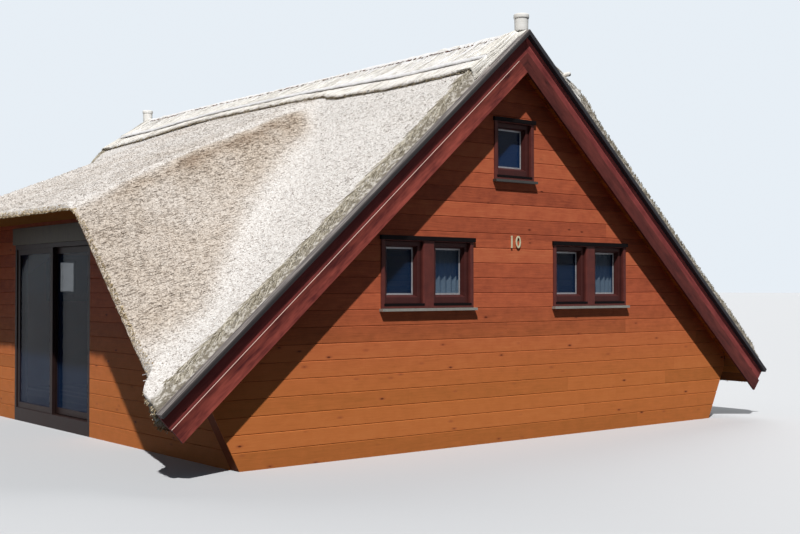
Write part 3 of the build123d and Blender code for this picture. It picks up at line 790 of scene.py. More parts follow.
def weather_zones(run, y, side):
    """How damp and dark the reed is, from 0 to 1: most in the valleys beside the raised eave, where water
    gathers, with a dark streak along the upper part of each hip."""
    if side > 0:
        return 0.22 + 0.12 * lattice_noise(run, y, 0.9, 5)
    from_hip = np.abs(y) - (RAISED_HALF - 0.2 * (RAISED_REACH - run))
    edge = np.interp(run, (0.9, 2.4, 3.9), (0.13, 0.65, 1.64))
    valley = ease(from_hip, -0.15, 0.12) * (1 - ease(from_hip, edge - 0.20, edge + 0.50))
    past = from_hip - np.interp(run, (0.8, 2.5), (0.05, -0.11)) + 0.015 * lattice_noise(run, y, 0.45, 8)
    streak = ease(past, -0.03, 0.03) * (1 - ease(past, 0.12, 0.62))
    streak = streak * ease(run, 0.75, 1.35) * (1 - ease(run, 3.0, 4.9))
    streak = streak * (0.72 + 0.40 * lattice_noise(run, y, 0.22, 9))
    raised = 0.36 * (1 - ease(from_hip, -0.3, 0.3))
    plain = 0.13 * ease(from_hip, 0.0, 0.6)
    damp = 0.60 * valley * ease(run, 0.95, 1.6) + 0.46 * streak
    return raised + plain + damp + 0.10 * lattice_noise(run, y, 0.7, 6)


def surface_lumps(run, y):
    """Gentle unevenness of the slope."""
    return 0.010 * lattice_noise(run, y, 0.7, 1) + 0.006 * lattice_noise(run, y, 0.16, 2)


def roof_shell(side, rows=285, columns=150):
    """One thatched slope as a closed shell: down the top surface, round the eave, and back up underneath."""
    near_verge = VERGE_END - np.array([0.14, 0.11, 0.085, 0.06, 0.04, 0.025, 0.014, 0.005, 0.0])
    far = VERGE_END - 0.17
    y = np.concatenate([-near_verge[::-1], np.linspace(-far, far, rows - 18), near_verge])[:, None]
    plain, top_run, low_run, bottom = eave_edge(y, side)

    start = 0.74
    share = np.linspace(0, 1, columns - 2)[None, :]
    run = np.concatenate([0 * y, 0.4 + 0 * y, start + (top_run - EAVE_ROUNDING - start) * share], 1)
    rough = ease(run, start, start + 0.3)
    edge_zone = ease(np.abs(y), VERGE_END - 0.35, VERGE_END - 0.1)
    lump = surface_lumps(run, y) + 0.0035 * lattice_noise(run, y, 0.07, 3)
    lump = lump + edge_zone * 0.010 * lattice_noise(run, y, 0.11, 4)
    lump = lump * rough * (1 - 0.7 * ease(np.abs(y), VERGE_END - 0.05, VERGE_END))
    height = roof_height(run, y, side) + lump
    weather = weather_zones(run, y, side)

    turn = np.linspace(0, 1, 7)[None, 1:]
    quarter = turn * np.pi / 2
    roll_run = top_run - EAVE_ROUNDING + (EAVE_ROUNDING + (low_run - top_run) * turn) * np.sin(quarter)
    roll_height = height[:, -1:] + (bottom - height[:, -1:]) * (1 - np.cos(quarter))
    roll_height = roll_height - EAVE_ROUNDING * SLOPE * 0.2 * np.sin(np.pi * turn)
    roll_run = roll_run + 0.006 * lattice_noise(roll_height * 3, y, 0.06, 7)

    under = np.linspace(0, 1, 10)[None, 1:]
    under_run = roll_run[:, -1:] + (WALL_INSIDE_RUN - roll_run[:, -1:]) * under
    under_height = np.maximum(bottom, UNDER_TOP - SLOPE * under_run)
    if side < 0:
        under_height = np.maximum(under_height, np.where(plain > 0.999, 0, opening_height(y)))

    back_run = WALL_INSIDE_RUN * np.linspace(1, 0, 8)[None, :] + 0 * y
    back_height = np.minimum(UNDER_TOP - SLOPE * back_run + 0.002, roof_height(back_run, y, side) - 0.05)
    if side < 0:
        raised = 1 - ease(np.abs(y), 2.3, 2.6 + 0.2 * back_run)
        lifted = roof_height(back_run, y, side) - 0.19
        back_height = back_height + (np.maximum(lifted, back_height) - back_height) * raised

    runs = np.concatenate([run, roll_run, under_run, back_run], 1)
    heights = np.concatenate([height, roll_height, under_height, back_height], 1)
    points = np.stack([side * runs, np.broadcast_to(y, runs.shape), heights], -1).reshape(-1, 3)
    count = runs.shape[1]
    below = np.zeros(runs.shape)
    below[:, columns + 5 :] = 1
    verge = np.broadcast_to(ease(np.abs(y), VERGE_END - 0.13, VERGE_END - 0.07), runs.shape)
    weather = np.concatenate([weather, np.repeat(weather[:, -1:], count - columns, 1)], 1)
    data = {"weather": weather.ravel(), "verge": verge.ravel(), "below": below.ravel(), "tone": 0.5}
    return turned((points, shell_faces(rows, count)), side > 0), data


def surface_frame(run, y, side):
    """Points of the slope with their downhill and outward directions, from small differences in height."""
    d = 0.02
    by_run = (roof_height(run + d, y, side) - roof_height(run - d, y, side)) / (2 * d)
    by_y = (roof_height(run, y + d, side) - roof_height(run, y - d, side)) / (2 * d)
    points = np.stack([side * run, y, roof_height(run, y, side) + surface_lumps(run, y)], 1)
    normal = unit(np.stack([-side * by_run, -by_y, np.ones_like(run)], 1))
    downhill = unit(np.stack([-side * by_run, -by_y, -(by_run**2 + by_y**2)], 1))
    return points, downhill, normal


def scattered(side, count, margin, rng):
    """Random places on a slope, this far from its verges, and whether each lies inside the eave's edge."""
    run = CAP_LOWER_REACH + (EAVE_REACH - 0.06 - CAP_LOWER_REACH) * rng.uniform(0, 1, count)
    y = rng.uniform(margin - VERGE_END, VERGE_END - margin, count)
    edge = np.where(np.abs(y) < 4.5, RAISED_REACH - 0.05, EAVE_REACH - 0.04)
    return run, y, (side > 0) | (run < edge)


def course_ridges(side, count, seed):
    """Short runs of cut reed ends that stand out along the courses, half sunk in the slope. The courses climb
    towards the gables."""
    rng = np.random.default_rng(seed)
    run, y, inside = scattered(side, count, 0.16, rng)
    damp = weather_zones(run, y, side)
    keep = (rng.uniform(0, 1, count) < 0.35 + 0.9 * np.clip(damp, 0, 1)) & inside
    run, y, damp = run[keep], y[keep], damp[keep]
    points, downhill, normal = surface_frame(run, y, side)
    climb = (-side * 1.4 * COURSE_SLANT * np.sign(y))[:, None] + rng.normal(0, 0.16, (len(run), 1))
    axes = unit(np.cross(normal, downhill) + downhill * climb + normal * rng.normal(0, 0.05, (len(run), 1)))
    length = rng.uniform(0.025, 0.070, len(run)) * (0.8 + 0.6 * np.clip(damp, 0, 1))
    radius = rng.uniform(0.0045, 0.0075, len(run))
    shape, data = reeds(points - axes * length[:, None] * 0.5, axes, length, radius, rng, 0.8, (0.2, 1.0))
    return shape, data | {"weather": np.repeat(damp, 6), "verge": 0, "below": 0}


def reed_stubs(side, count, seed):
    """Single cut reed ends that stick out of the slope, pointing downhill and a little outward."""
    rng = np.random.default_rng(seed)
    run, y, inside = scattered(side, count, 0.06, rng)
    run, y = run[inside], y[inside]
    points, downhill, normal = surface_frame(run, y, side)
    axes = downhill + normal * rng.uniform(0.35, 0.9, (len(run), 1)) + rng.normal(0, 0.12, (len(run), 3))
    length = rng.uniform(0.020, 0.034, len(run))
    radius = rng.uniform(0.0040, 0.0075, len(run))
    starts = points - normal * 0.008 - downhill * length[:, None] * 0.4
    shape, data = reeds(starts, axes, length, radius, rng, 0.95, (0.1, 1.0))
    return shape, data | {"weather": np.repeat(weather_zones(run, y, side), 6), "verge": 0, "below": 0}


def verge_reeds(side, end, seed, count=3800):
    """Reeds laid bare where the thatch is pared down to the flashing: stems down the rake, turned slightly
    inward."""
    rng = np.random.default_rng(seed)
    run = rng.uniform(CAP_LOWER_REACH, EAVE_REACH - 0.10, count)
    inward = rng.power(0.8, count) * (0.11 if side < 0 else 0.06)
    points, downhill, normal = surface_frame(run, end * (VERGE_END - 0.004 - inward), side)
    turn = rng.uniform(0.25, 0.95, count)[:, None]
    axes = downhill - np.array([0, end, 0]) * turn + normal * rng.uniform(-0.03, 0.08, count)[:, None]
    length = rng.uniform(0.07, 0.22, count)
    radius = rng.uniform(0.0028, 0.0058, count)
    starts = points + normal * rng.uniform(-0.004, 0.010, count)[:, None] - downhill * length[:, None] * 0.5
    return reeds(starts, axes, length, radius, rng, 0.85, (0, 1))


def eave_fringe(side, seed, per_metre=420):
    """Cut ends along the eave, standing out of its face at slightly different lengths."""
    rng = np.random.default_rng(seed)
    count = int(2 * VERGE_END * per_metre)
    y = rng.uniform(0.01 - VERGE_END, VERGE_END - 0.01, count)
    plain, top_run, low_run, bottom = eave_edge(y, side)
    top_run = top_run - 0.03
    top = roof_height(top_run, y, side) - 0.01
    share = rng.uniform(0, 1, count)
    height = top + (bottom - top) * share
    run = top_run + (low_run - top_run) * share
    flank = np.clip((np.abs(y) - RAISED_HALF) * 4, 0, 1) * np.sign(y) * (1 - plain) * 0.75
    axes = np.stack([side * np.full(count, 0.80), flank, -0.35 - 0.5 * plain], 1)
    axes = axes + rng.normal(0, 0.08, (count, 3))
    length = rng.uniform(0.045, 0.065, count)
    radius = rng.uniform(0.0035, 0.006, count)
    starts = np.stack([side * (run - 0.035), y, height + 0.008], 1)
    return reeds(starts, axes, length, radius, rng, 0.95, (0, 1))


# ---- Ridge cap ----


def rear_rise(y):
    """How much fuller the ridge is towards the rear."""
    return REAR_FULLNESS * ease(y, *REAR_STRETCH)


def cap_height(run, y, side, layer):
    """Top of a cap layer: the sloping ground under it plus its thickness, rounded and crowned over the ridge,
    and fuller towards the rear and under the pots."""
    crown = RIDGE_CROWN * bell(run, 0.11) + 0.020 * ease(np.abs(y), 4.55, 4.85) * bell(run, 0.20)
    crown = crown + rear_rise(y) * bell(run, 0.7)
    top = CORE_TOP + layer + crown - ridge_slope(y, side) * np.sqrt(run**2 + RIDGE_FLAT**2)
    nest = POT_BASE - 0.006 - 1.1 * np.clip(run - 0.075, 0, None)
    top = top + (np.maximum(top, nest) - top) * ease(np.abs(y), 4.74, 4.85)
    return pared(top, run, y, cap_bevel(run, side))


def lower_layer(run, y):
    """Thickness of the lower layer, which beside the verges fills up to the top of the upper one."""
    beside = ease(np.abs(y), CAP_UPPER_END - 0.10, CAP_UPPER_END)
    return CAP_LAYER + CAP_LAYER * beside * (1 - ease(run, 0.42, 0.75))


def cap_reach(y, side, lower):
    """Run at which a cap layer ends. The upper one is nearly straight. The lower one has a lobe and a notch
    where the raised eave starts, and both come further down on the right."""
    if not lower:
        base = CAP_UPPER_REACH + (CAP_RIGHT_REACH if side > 0 else 0)
        return base + 0.010 * lattice_noise(y, 0 * y, 1.1, 45 + side)
    base = np.interp(y, CAP_EDGE_TURNS_Y, CAP_EDGE_TURNS) if side < 0 else CAP_LOWER_REACH + CAP_RIGHT_REACH
    return base + 0.010 * lattice_noise(y, 0 * y, 0.8, 41 + side)


def cap_layer(lower, half, seed):
    """A layer of reed over the ridge: from the left edge over the top to the right edge, with a rounded lip.
    Each half is worked out as rows of run, height and painted shade under the lip."""
    rows, columns = 420, 44
    y = np.linspace(-half, half, rows)[:, None]
    turn = np.linspace(0, np.pi, 8)[None, 1:]
    back = np.array([[0.05, 0.12]])
    halves = []
    for side in (-1, 1):
        edge = cap_reach(y, side, lower) - CAP_LIP
        if lower:
            edge = edge + 0.010 * lattice_noise(y, 0 * y, 0.09, seed + 5)
        run = edge * np.linspace(0, 1, columns)[None, :]
        lumps = 0.004 * lattice_noise(run, y, 0.10, seed + 3) + 0.006 * lattice_noise(run, y, 0.5, seed + 4)
        height = cap_height(run, y, side, lower_layer(run, y) if lower else BOTH_LAYERS) + lumps
        slope = ridge_slope(y, side)
        lip_run = edge + CAP_LIP * np.sin(turn)
        lip_height = height[:, -1:] - CAP_LIP * (1 - np.cos(turn)) - slope * CAP_LIP * np.sin(turn)
        runs = np.concatenate([run, lip_run, lip_run[:, -1:] - back], 1)
        heights = np.concatenate([height, lip_height, lip_height[:, -1:] + slope * back - 0.01], 1)
        # Painted shade: rising to 1 round the underside of the lip, and 1 over the closing underside.
        painted_lip_shade = np.concatenate([0 * run, ease(turn, 1.5, 2.7) + 0 * y, 1 + 0 * back + 0 * y], 1)
        halves.append(np.stack([side * runs, heights, painted_lip_shade]))
    closing = np.stack([0 * y, 0 * y + CORE_TOP - 0.05, 0 * y + 1])
    xs, zs, marks = np.concatenate([halves[0][:, :, ::-1], halves[1][:, :, 1:], closing], 2)
    points = np.stack([xs, np.broadcast_to(y, xs.shape), zs], -1).reshape(-1, 3)
    shape = turned((points, shell_faces(rows, xs.shape[1])), True)
    return shape, {"weather": marks.ravel(), "lower": float(lower)}


def roll(path, radius, around, wobble, seed):
    """A bundle along a path of points: a circle carried along it, closed at both ends."""
    ahead = unit(np.gradient(path, axis=0))
    side = unit(np.cross(ahead, np.array([0.0, 0.0, 1.0])))
    up = np.cross(side, ahead)
    angle = np.linspace(0, 2 * np.pi, around, endpoint=False)
    lumps = lattice_noise(np.arange(len(path))[:, None] * 0.31, angle[None] * 0.5, 1.0, seed)
    ring = np.cos(angle)[None, :, None] * side[:, None] + np.sin(angle)[None, :, None] * up[:, None]
    points = (path[:, None] + ring * (radius * (1 + wobble * lumps))[..., None]).reshape(-1, 3)
    return points, shell_faces(len(path), around)


def edge_roll():
    """The bundle under the upper layer's right edge."""
    y = np.linspace(-VERGE_END - 0.02, VERGE_END + 0.02, 300)
    run = cap_reach(y, 1, False) - 0.028
    height = cap_height(run, np.clip(y, -CAP_UPPER_END, CAP_UPPER_END), 1, BOTH_LAYERS) - 0.002
    return roll(np.stack([run, y, height], 1), EDGE_ROLL_RADIUS, 10, 0.10, 52), {"tone": 0.7}


def ridge_bundle():
    """The bundle along the top of the ridge, slightly wandering."""
    y = np.linspace(-BUNDLE_END, BUNDLE_END, 400)
    height = BUNDLE_HEIGHT + rear_rise(y) + 0.006 * lattice_noise(y, y * 0, 0.13, 62)
    path = np.stack([0.006 * lattice_noise(y, y * 0, 0.4, 61), y, height], 1)
    return roll(path, BUNDLE_RADIUS, 14, 0.16, 63), {"tone": 0.75}


def cap_stems(seed, count):
    """Loose stems laid down the slope over the cap. Beside the verges they lie close together."""
    rng = np.random.default_rng(seed)
    side = rng.choice([-1, 1], count)
    beside = rng.uniform(0, 1, count) < 0.5
    end = rng.choice([-1, 1], count)
    near_verge = end * (VERGE_END - 0.006 - 0.30 * rng.power(0.8, count))
    y = np.where(beside, near_verge, rng.uniform(-4.75, 4.75, count))
    start = rng.uniform(0.04, 0.75, count)
    edge_upper = on_side(side, lambda one: cap_reach(y, one, False))
    edge_lower = on_side(side, lambda one: cap_reach(y, one, True)) + 0.015
    filled = np.abs(y) > CAP_UPPER_END
    upper = (start < edge_upper - 0.02) & ~filled
    start = np.where(upper | filled, start, np.maximum(start, edge_upper + 0.01))
    along = np.minimum(rng.uniform(0.10, 0.42, count), np.where(upper, edge_upper - 0.03, edge_lower) - start)

    def surface(run):
        layer = np.where(upper, BOTH_LAYERS, lower_layer(run, y))
        return on_side(side, lambda one: cap_height(run, y, one, layer))

    lift = rng.uniform(-0.002, 0.007, count)
    fan = np.where(beside, end * rng.uniform(-0.04, 0.05, count), rng.normal(0, 0.05, count)) * along
    starts = np.stack([side * start, y, surface(start) + lift], 1)
    axes = np.stack([side * along, fan, surface(start + along) - surface(start)], 1)
    length = np.linalg.norm(axes, axis=1)
    thick = np.where(beside, rng.uniform(0.003, 0.007, count), rng.uniform(0.0025, 0.0045, count))
    keep = along > 0.04
    return reeds(starts[keep], axes[keep], length[keep], thick[keep], rng, 0.85, (0.15, 1))


def cap_edge_ends(seed, per_metre):
    """Ragged cut ends under the lower edge of the cap."""
    rng = np.random.default_rng(seed)
    count = int(2 * VERGE_END * per_metre)
    side = rng.choice([-1, 1], count)
    y = rng.uniform(0.01 - VERGE_END, VERGE_END - 0.01, count)
    run = on_side(side, lambda one: cap_reach(y, one, True)) - 0.085 + rng.uniform(0, 0.02, count)
    slope = on_side(side, lambda one: ridge_slope(y, one))
    top = on_side(side, lambda one: cap_height(run, y, one, CAP_LAYER))
    height = top - 0.010 - 0.036 * rng.uniform(0, 1, count)
    axes = np.stack([side * 1.0, rng.normal(0, 0.12, count), -slope - rng.uniform(-0.02, 0.12, count)], 1)
    length = rng.uniform(0.06, 0.105, count)
    radius = rng.uniform(0.003, 0.0055, count)
    return reeds(np.stack([side * run, y, height], 1), axes, length, radius, rng, 0.9, (0, 0.8))


def ridge_stitches(seed):
    """Turns of twine that hold the ridge bundle down, one row on each side."""
    rng = np.random.default_rng(seed)
    number = 2 * STITCH_COUNT
    y = np.repeat(np.linspace(-STITCH_END, STITCH_END, STITCH_COUNT), 2) + rng.normal(0, 0.012, number)
    side = np.tile([-1, 1], STITCH_COUNT)
    run = STITCH_RUN + rng.normal(0, 0.006, number)
    slope = on_side(side, lambda one: ridge_slope(y, one))
    height = on_side(side, lambda one: cap_height(run, y, one, BOTH_LAYERS)) + 0.004
    axes = np.stack([side * rng.normal(0.30, 0.2, number), 1 + 0 * y, -slope * 0.4], 1)
    length = rng.uniform(0.035, 0.065, number)
    starts = np.stack([side * run, y, height], 1)
    return reeds(starts, axes, length, np.full(number, TWINE_RADIUS), rng, 0.8, (0, 0.6))


def lathe(profile, around=56):
    """A turned body: (radius, height) points carried once round a vertical axis."""
    radius, height = np.asarray(profile).T[:, :, None]
    angle = np.linspace(0, 2 * np.pi, around, endpoint=False)[None]
    points = np.stack([radius * np.cos(angle), radius * np.sin(angle), height + 0 * angle], -1).reshape(-1, 3)
    return points, [grid_faces(len(profile), around, wrap=True)]


def clay_pot(end):
    """A turned pot, slightly out of round."""
    points, faces = lathe(POT_PROFILE)
    angle = np.arctan2(points[:, 1], points[:, 0])
    points[:, :2] *= (1 + 0.012 * np.sin(2 * angle + end))[:, None]
    points[:, 1] += end * POT_MIDDLE
    return points, faces


def pot_bed(end):
    """The bed of reed round a pot's foot: a ragged turned cushion that falls with the roof on both sides."""
    points, faces = lathe(BED_PROFILE)
    turn = np.arctan2(points[:, 1], points[:, 0])
    ragged = 0.05 * lattice_noise(turn * 3, points[:, 2] * 12, 0.6, 83)
    points[:, :2] *= (1 + ragged * (np.hypot(points[:, 0], points[:, 1]) > 0.09))[:, None]
    points[:, 2] = np.maximum(points[:, 2] - BED_FALL * np.abs(points[:, 0]), BED_FOOT)
    points[:, 1] += end * BED_MIDDLE
    return (points, faces), {"tone": 0.6 + 0.3 * lattice_noise(turn, points[:, 2] * 8, 0.3, 84)}


# ---- Boards and joinery ----


def plank_shapes(planks, place):
    """Boards with eased edges: an eight-point section carried from a board's left end to its right end.
    Each row of planks is bottom, top, left end at the bottom and top, right end at the bottom and top,
    bottom and top bevel. place turns (along, out, up) into points of the wall."""
    low, high, left_low, left_high, right_low, right_high, bevel_low, bevel_high = planks.T[:, :, None]
    zero = 0 * low
    thick = zero + BOARD_THICKNESS
    ease_low, ease_high = bevel_low * 0.35, bevel_high * 0.35
    up = [low, low, low + ease_low, low + bevel_low, high - bevel_high, high - ease_high, high, high]
    out = [zero, thick - bevel_low, thick - ease_low, thick]
    out += [thick, thick - ease_high, thick - bevel_high, zero]
    up, out = np.concatenate(up, 1), np.concatenate(out, 1)
    share = (up - low) / (high - low)
    left = left_low + (left_high - left_low) * share
    right = right_low + (right_high - right_low) * share
    along, out, up = np.stack([left, right], 1), np.stack([out, out], 1), np.stack([up, up], 1)
    base = np.arange(len(planks))[:, None, None] * 16
    section = np.arange(8)
    after = (section + 1) % 8
    walls = np.stack([section, after, after + 8, section + 8], -1)[None]
    ends = np.stack([section[::-1], section + 8])[None]
    faces = [(base + walls).reshape(-1, 4), (base + ends).reshape(-1, 8)]
    return (place(along, out, up).reshape(-1, 3), faces), along.reshape(-1), up.reshape(-1)


def cladding(limits, openings, top, bottom, seed):
    """Rows of boards cut to a wall's edges and openings, with butt joints here and there, and a key for each
    board. limits gives the wall's left and right edge at a height; each opening is left, right, bottom and
    top."""
    rng = np.random.default_rng(seed)
    joints = np.concatenate([[0.0], np.arange(FIRST_JOINT, top + BOARD_COVER, BOARD_COVER)])
    planks, keys = [], []
    for number, (row_low, row_high) in enumerate(zip(joints[:-1], joints[1:])):
        butts = np.cumsum(rng.uniform(1.6, 4.2, 8)) - 6.0 + rng.uniform(0, 2)
        row_high = min(row_high, top)
        if row_high <= bottom:
            continue
        cuts = {edge for hole in openings for edge in hole[2:] if row_low < edge < row_high}
        cuts = sorted(cuts | {max(row_low, bottom), row_high})
        for low, high in zip(cuts[:-1], cuts[1:]):
            if high - low < 0.004:
                continue
            at_low = abs(low - row_low) < 1e-6 and low > 0
            at_high = abs(high - row_high) < 1e-6
            heights = [low + BOARD_GAP * at_low, high - BOARD_GAP * at_high]
            bevels = [BOARD_BEVEL if at_edge else SAWN_EDGE for at_edge in (at_low, at_high)]
            (left_low, right_low), (left_high, right_high) = limits(low), limits(high)
            stretches = [(left_low, left_high)]
            for left, right in sorted(h[:2] for h in openings if h[2] < high - 1e-6 and h[3] > low + 1e-6):
                stretches += [(left - OPENING_GAP,) * 2, (right + OPENING_GAP,) * 2]
            stretches.append((right_low, right_high))
            for first, last in zip(stretches[::2], stretches[1::2]):
                stops = [x for x in butts if max(first) + 0.25 < x < min(last) - 0.25]
                edges = [first, *((x, x) for x in stops), last]
                for (a_low, a_high), (b_low, b_high) in zip(edges[:-1], edges[1:]):
                    if b_low - a_low < 0.003 and b_high - a_high < 0.003:
                        continue
                    ends = [a_low + BUTT_GAP, a_high + BUTT_GAP]
                    ends += [max(b_low, a_low + 0.002) - BUTT_GAP, max(b_high, a_high + 0.002) - BUTT_GAP]
                    planks.append(heights + ends + bevels)
                    keys.append(number + 0.137 * len(stops) + 7.3 * np.searchsorted(stops, a_low))
    return np.array(planks), np.array(keys)


def wall_core(name, node, axis, outside, inward, finish):
    """The wall behind the boards: the same solid with its outer face set back by the boards' thickness."""
    mesh = nodes[node].data.copy()
    merged = bmesh.new()
    merged.from_mesh(mesh)
    bmesh.ops.remove_doubles(merged, verts=merged.verts, dist=1e-5)
    merged.to_mesh(mesh)
    merged.free()
    points = np.empty(len(mesh.vertices) * 3, np.float32)
    mesh.vertices.foreach_get("co", points)
    points = points.reshape(-1, 3)
    on_face = np.abs(points[:, axis] - outside) < 1e-4
    points[on_face, axis] += inward * BOARD_THICKNESS
    mesh.vertices.foreach_set("co", points.ravel())
    add_piece(name, mesh, finish, "wall_boards", (node,))


def clad_wall(name, core, node, gable, side, limits, top, seed, openings=(), bottom=0.0):
    """One wall: its boards, each with its own tone and its own place in the grain, and the core behind them.
    The wall faces along Y if it is a gable and along X otherwise, to this side."""
    face = HALF_LENGTH if gable else WALL_RUN

    def place(along, out, up):
        level = side * (face - BOARD_THICKNESS + out)
        return np.stack([along, level, up] if gable else [level, along, up], -1)

    planks, keys = cladding(limits, openings, top, bottom, seed)
    shape, along, up = plank_shapes(planks, place)
    rng = np.random.default_rng(seed + 50)
    names, which = np.unique(keys, return_inverse=True)
    tone = np.repeat(rng.uniform(0, 1, len(names))[which], 16)
    shift = np.repeat(rng.uniform(0, 40, (len(names), 2))[which], 16, axis=0)
    data = {"grain": np.stack([along, up], 1) + shift, "tone": tone}
    piece = make_piece(name, gable_boards, "wall_boards", shape, data)
    if gable == (side > 0):
        piece.data.flip_normals()
    wall_core(core, node, int(gable), side * face, -side, dark_core)


def ring_shape(left, right, bottom, top, section, place, foot=1.0):
    """A mitred frame: a closed section of (inset, depth) points carried round a rectangle's four corners.
    Along the bottom the section is this many times as wide."""
    inset, depth = np.asarray(section).T
    across = np.stack([left + inset, right - inset, right - inset, left + inset])
    up = np.stack([bottom + inset * foot, bottom + inset * foot, top - inset, top - inset])
    points = place(across, np.broadcast_to(depth, across.shape), up).reshape(-1, 3)
    count = len(section)
    corner = np.arange(4)[:, None] * count
    after = (np.arange(4)[:, None] + 1) % 4 * count
    here = np.arange(count)[None]
    beyond = (here + 1) % count
    faces = np.stack([corner + here, after + here, after + beyond, corner + beyond], -1).reshape(-1, 4)
    return points, [faces]


def bar_shape(start, end, section, place, upright=True):
    """A straight bar: a closed section of (across, depth) points carried from start to end."""
    count = len(section)
    across, depth = (np.broadcast_to(values, (2, count)) for values in np.asarray(section).T)
    run = np.broadcast_to([[start], [end]], (2, count))
    points = place(across, depth, run) if upright else place(run, depth, across)
    here = np.arange(count)
    beyond = (here + 1) % count
    walls = np.stack([here, here + count, beyond + count, beyond], -1)
    caps = np.stack([here, here[::-1] + count])
    return points.reshape(-1, 3), [walls, caps]


def rounded_box(low, high, front, back, radius, steps=3):
    """Closed section of a bar with rounded front edges, from one side to the other."""
    angle = np.linspace(0, np.pi / 2, steps + 1)
    first = np.stack([low + radius - radius * np.cos(angle), front + radius - radius * np.sin(angle)], 1)
    second = np.stack([high - radius + radius * np.sin(angle), front + radius - radius * np.cos(angle)], 1)
    return np.concatenate([[[low, back]], first, second, [[high, back]]])


def window_shapes(middle, sill, width, height, sashes, end):
    """A window as three shapes. The joinery is the frame, its sashes with a sloping glazing bead, and a broad
    rounded post between two sashes. The spacers show inside the edge of each sealed pane as two bright ribs
    with a groove between them. The trims are a dark cap over the window and a drip bar under each sash."""

    def place(across, depth, up):
        level = end * (HALF_LENGTH + WINDOW_PROUD - depth)
        return np.stack([across + 0 * depth, level + 0 * across, up + 0 * depth], -1)

    left, right, top = middle - width / 2, middle + width / 2, sill + height
    foot, head = sill + FRAME_BAR, top - FRAME_BAR
    clear = (width - 2 * FRAME_BAR - (sashes - 1) * MULLION) / sashes
    sash = [
        (0.0, SASH_SETBACK + SASH_DEPTH),
        (0.0, SASH_SETBACK + 0.005),
        (0.002, SASH_SETBACK + 0.001),
        (0.006, SASH_SETBACK),
        (SASH_BAR - BEAD - 0.004, SASH_SETBACK),
        (SASH_BAR - BEAD, SASH_SETBACK + 0.003),
        (SASH_BAR - BEAD + 0.001, SASH_SETBACK + 0.010),
        (SASH_BAR, GLASS_SETBACK - 0.022),
        (SASH_BAR, SASH_SETBACK + SASH_DEPTH),
    ]
    ribs = ((0.0, 0.0), (0.0, 0.003), (0.008, 0.003), (0.009, 0.001), (0.013, 0.001), (0.014, 0.003))
    rib = [(inset, GLASS_SETBACK - rise) for inset, rise in (*ribs, (0.021, 0.003), (0.021, 0.0))]
    cap = rounded_box(top - 0.040, top + 0.008, -0.020, 0.010, 0.004)
    drip = rounded_box(sill + 0.030, foot + 0.006, -0.006, 0.03, 0.003)
    joinery = [ring_shape(left, right, sill, top, rounded_box(0, FRAME_BAR, 0, WINDOW_DEPTH, 0.006), place)]
    spacers = []
    trims = [bar_shape(left - CAP_BAR_EAR, right + CAP_BAR_EAR, cap, place, upright=False)]
    for number in range(sashes):
        near = left + FRAME_BAR + number * (clear + MULLION)
        far = near + clear
        inside = (near + SASH_PLAY, far - SASH_PLAY, foot + SASH_PLAY, head - SASH_PLAY)
        joinery.append(ring_shape(*inside, sash, place, SASH_FOOT / SASH_BAR))
        pane = (near + SASH_BAR, far - SASH_BAR, foot + SASH_FOOT, head - SASH_BAR)
        spacers.append(ring_shape(*pane, rib, place))
        trims.append(bar_shape(near - DRIP_BAR_EAR, far + DRIP_BAR_EAR, drip, place, upright=False))
    if sashes == 2:
        post = rounded_box(middle - MULLION / 2, middle + MULLION / 2, 0.0, SASH_SETBACK + 0.08, 0.016, 5)
        joinery.append(bar_shape(foot - 0.004, head + 0.004, post, place))
    groups = ((joinery, end > 0), (spacers, end > 0), (trims, end < 0))
    return [turned(join_shapes(shapes), flip) for shapes, flip in groups]


def curtain_piece(name, left, right, seed, finish):
    """A hung curtain: a level wave whose folds grow deeper towards the hem. The wave's length sets the
    cloth's width."""
    columns, rows = 96, 40
    drop = CURTAIN_HEAD - CURTAIN_SILL
    u = np.linspace(0, 1, columns)[None, :]
    v = np.linspace(0, 1, rows)[:, None]
    folds = max(3, round((right - left) / 0.075))
    phase = 2 * np.pi * folds * u + 0.8 * np.sin(5 * u + seed)
    x = left + (right - left) * u + 0.004 * np.sin(9 * v + 4 * u)
    y = CURTAIN_PLACE + (0.010 + 0.008 * v) * np.sin(phase) + 0.003 * np.sin(3 * v + seed)
    points = np.stack([x, y, CURTAIN_HEAD - drop * v + 0 * u], -1)
    width = np.linalg.norm(np.diff(points, axis=1), axis=2).sum(1).mean()
    weave = np.stack([u * width + 0 * v, v * drop + 0 * u], -1).reshape(-1, 2)
    shape = (points.reshape(-1, 3), [grid_faces(rows, columns)])
    piece = make_piece(name, finish, "wall_boards", shape, {"weave": weave}, smooth=True)


# ---- Thatch ----

ENDS = ((-1, "front"), (1, "rear"))
SIDES = ((-1, "left"), (1, "right"))
THATCH_NODES = {-1: ("thatch_left_front", "thatch_left_rear", "thatch_dormer"), 1: ("thatch_right",)}

field = reed_field_finish()
for side, name in SIDES:
    shell = roof_shell(side)
    make_piece(f"reed_slope_{name}", field, "reed_thatch", *shell, THATCH_NODES[side], smooth=True)
    make_piece(f"reed_courses_{name}", field, "reed_thatch", *course_ridges(side, 21000, 11 + side))
    make_piece(f"reed_stubs_{name}", field, "reed_thatch", *reed_stubs(side, 15000, 11 + side))

# The darkest of these reeds are partly painted shade, standing in for the gaps between the laid reeds.
verge_straw_and_gap_shade = reed_straw_finish("verge_reed", (84, 76, 62), (176, 167, 149), (234, 227, 214), 0.10)
for end, name in ENDS:
    shapes, data = zip(*(verge_reeds(side, end, 21 + 2 * end + side) for side, _ in SIDES))
    tone = np.concatenate([values["tone"] for values in data])
    make_piece(f"verge_reeds_{name}", verge_straw_and_gap_shade, "reed_thatch", join_shapes(shapes), {"tone": tone})

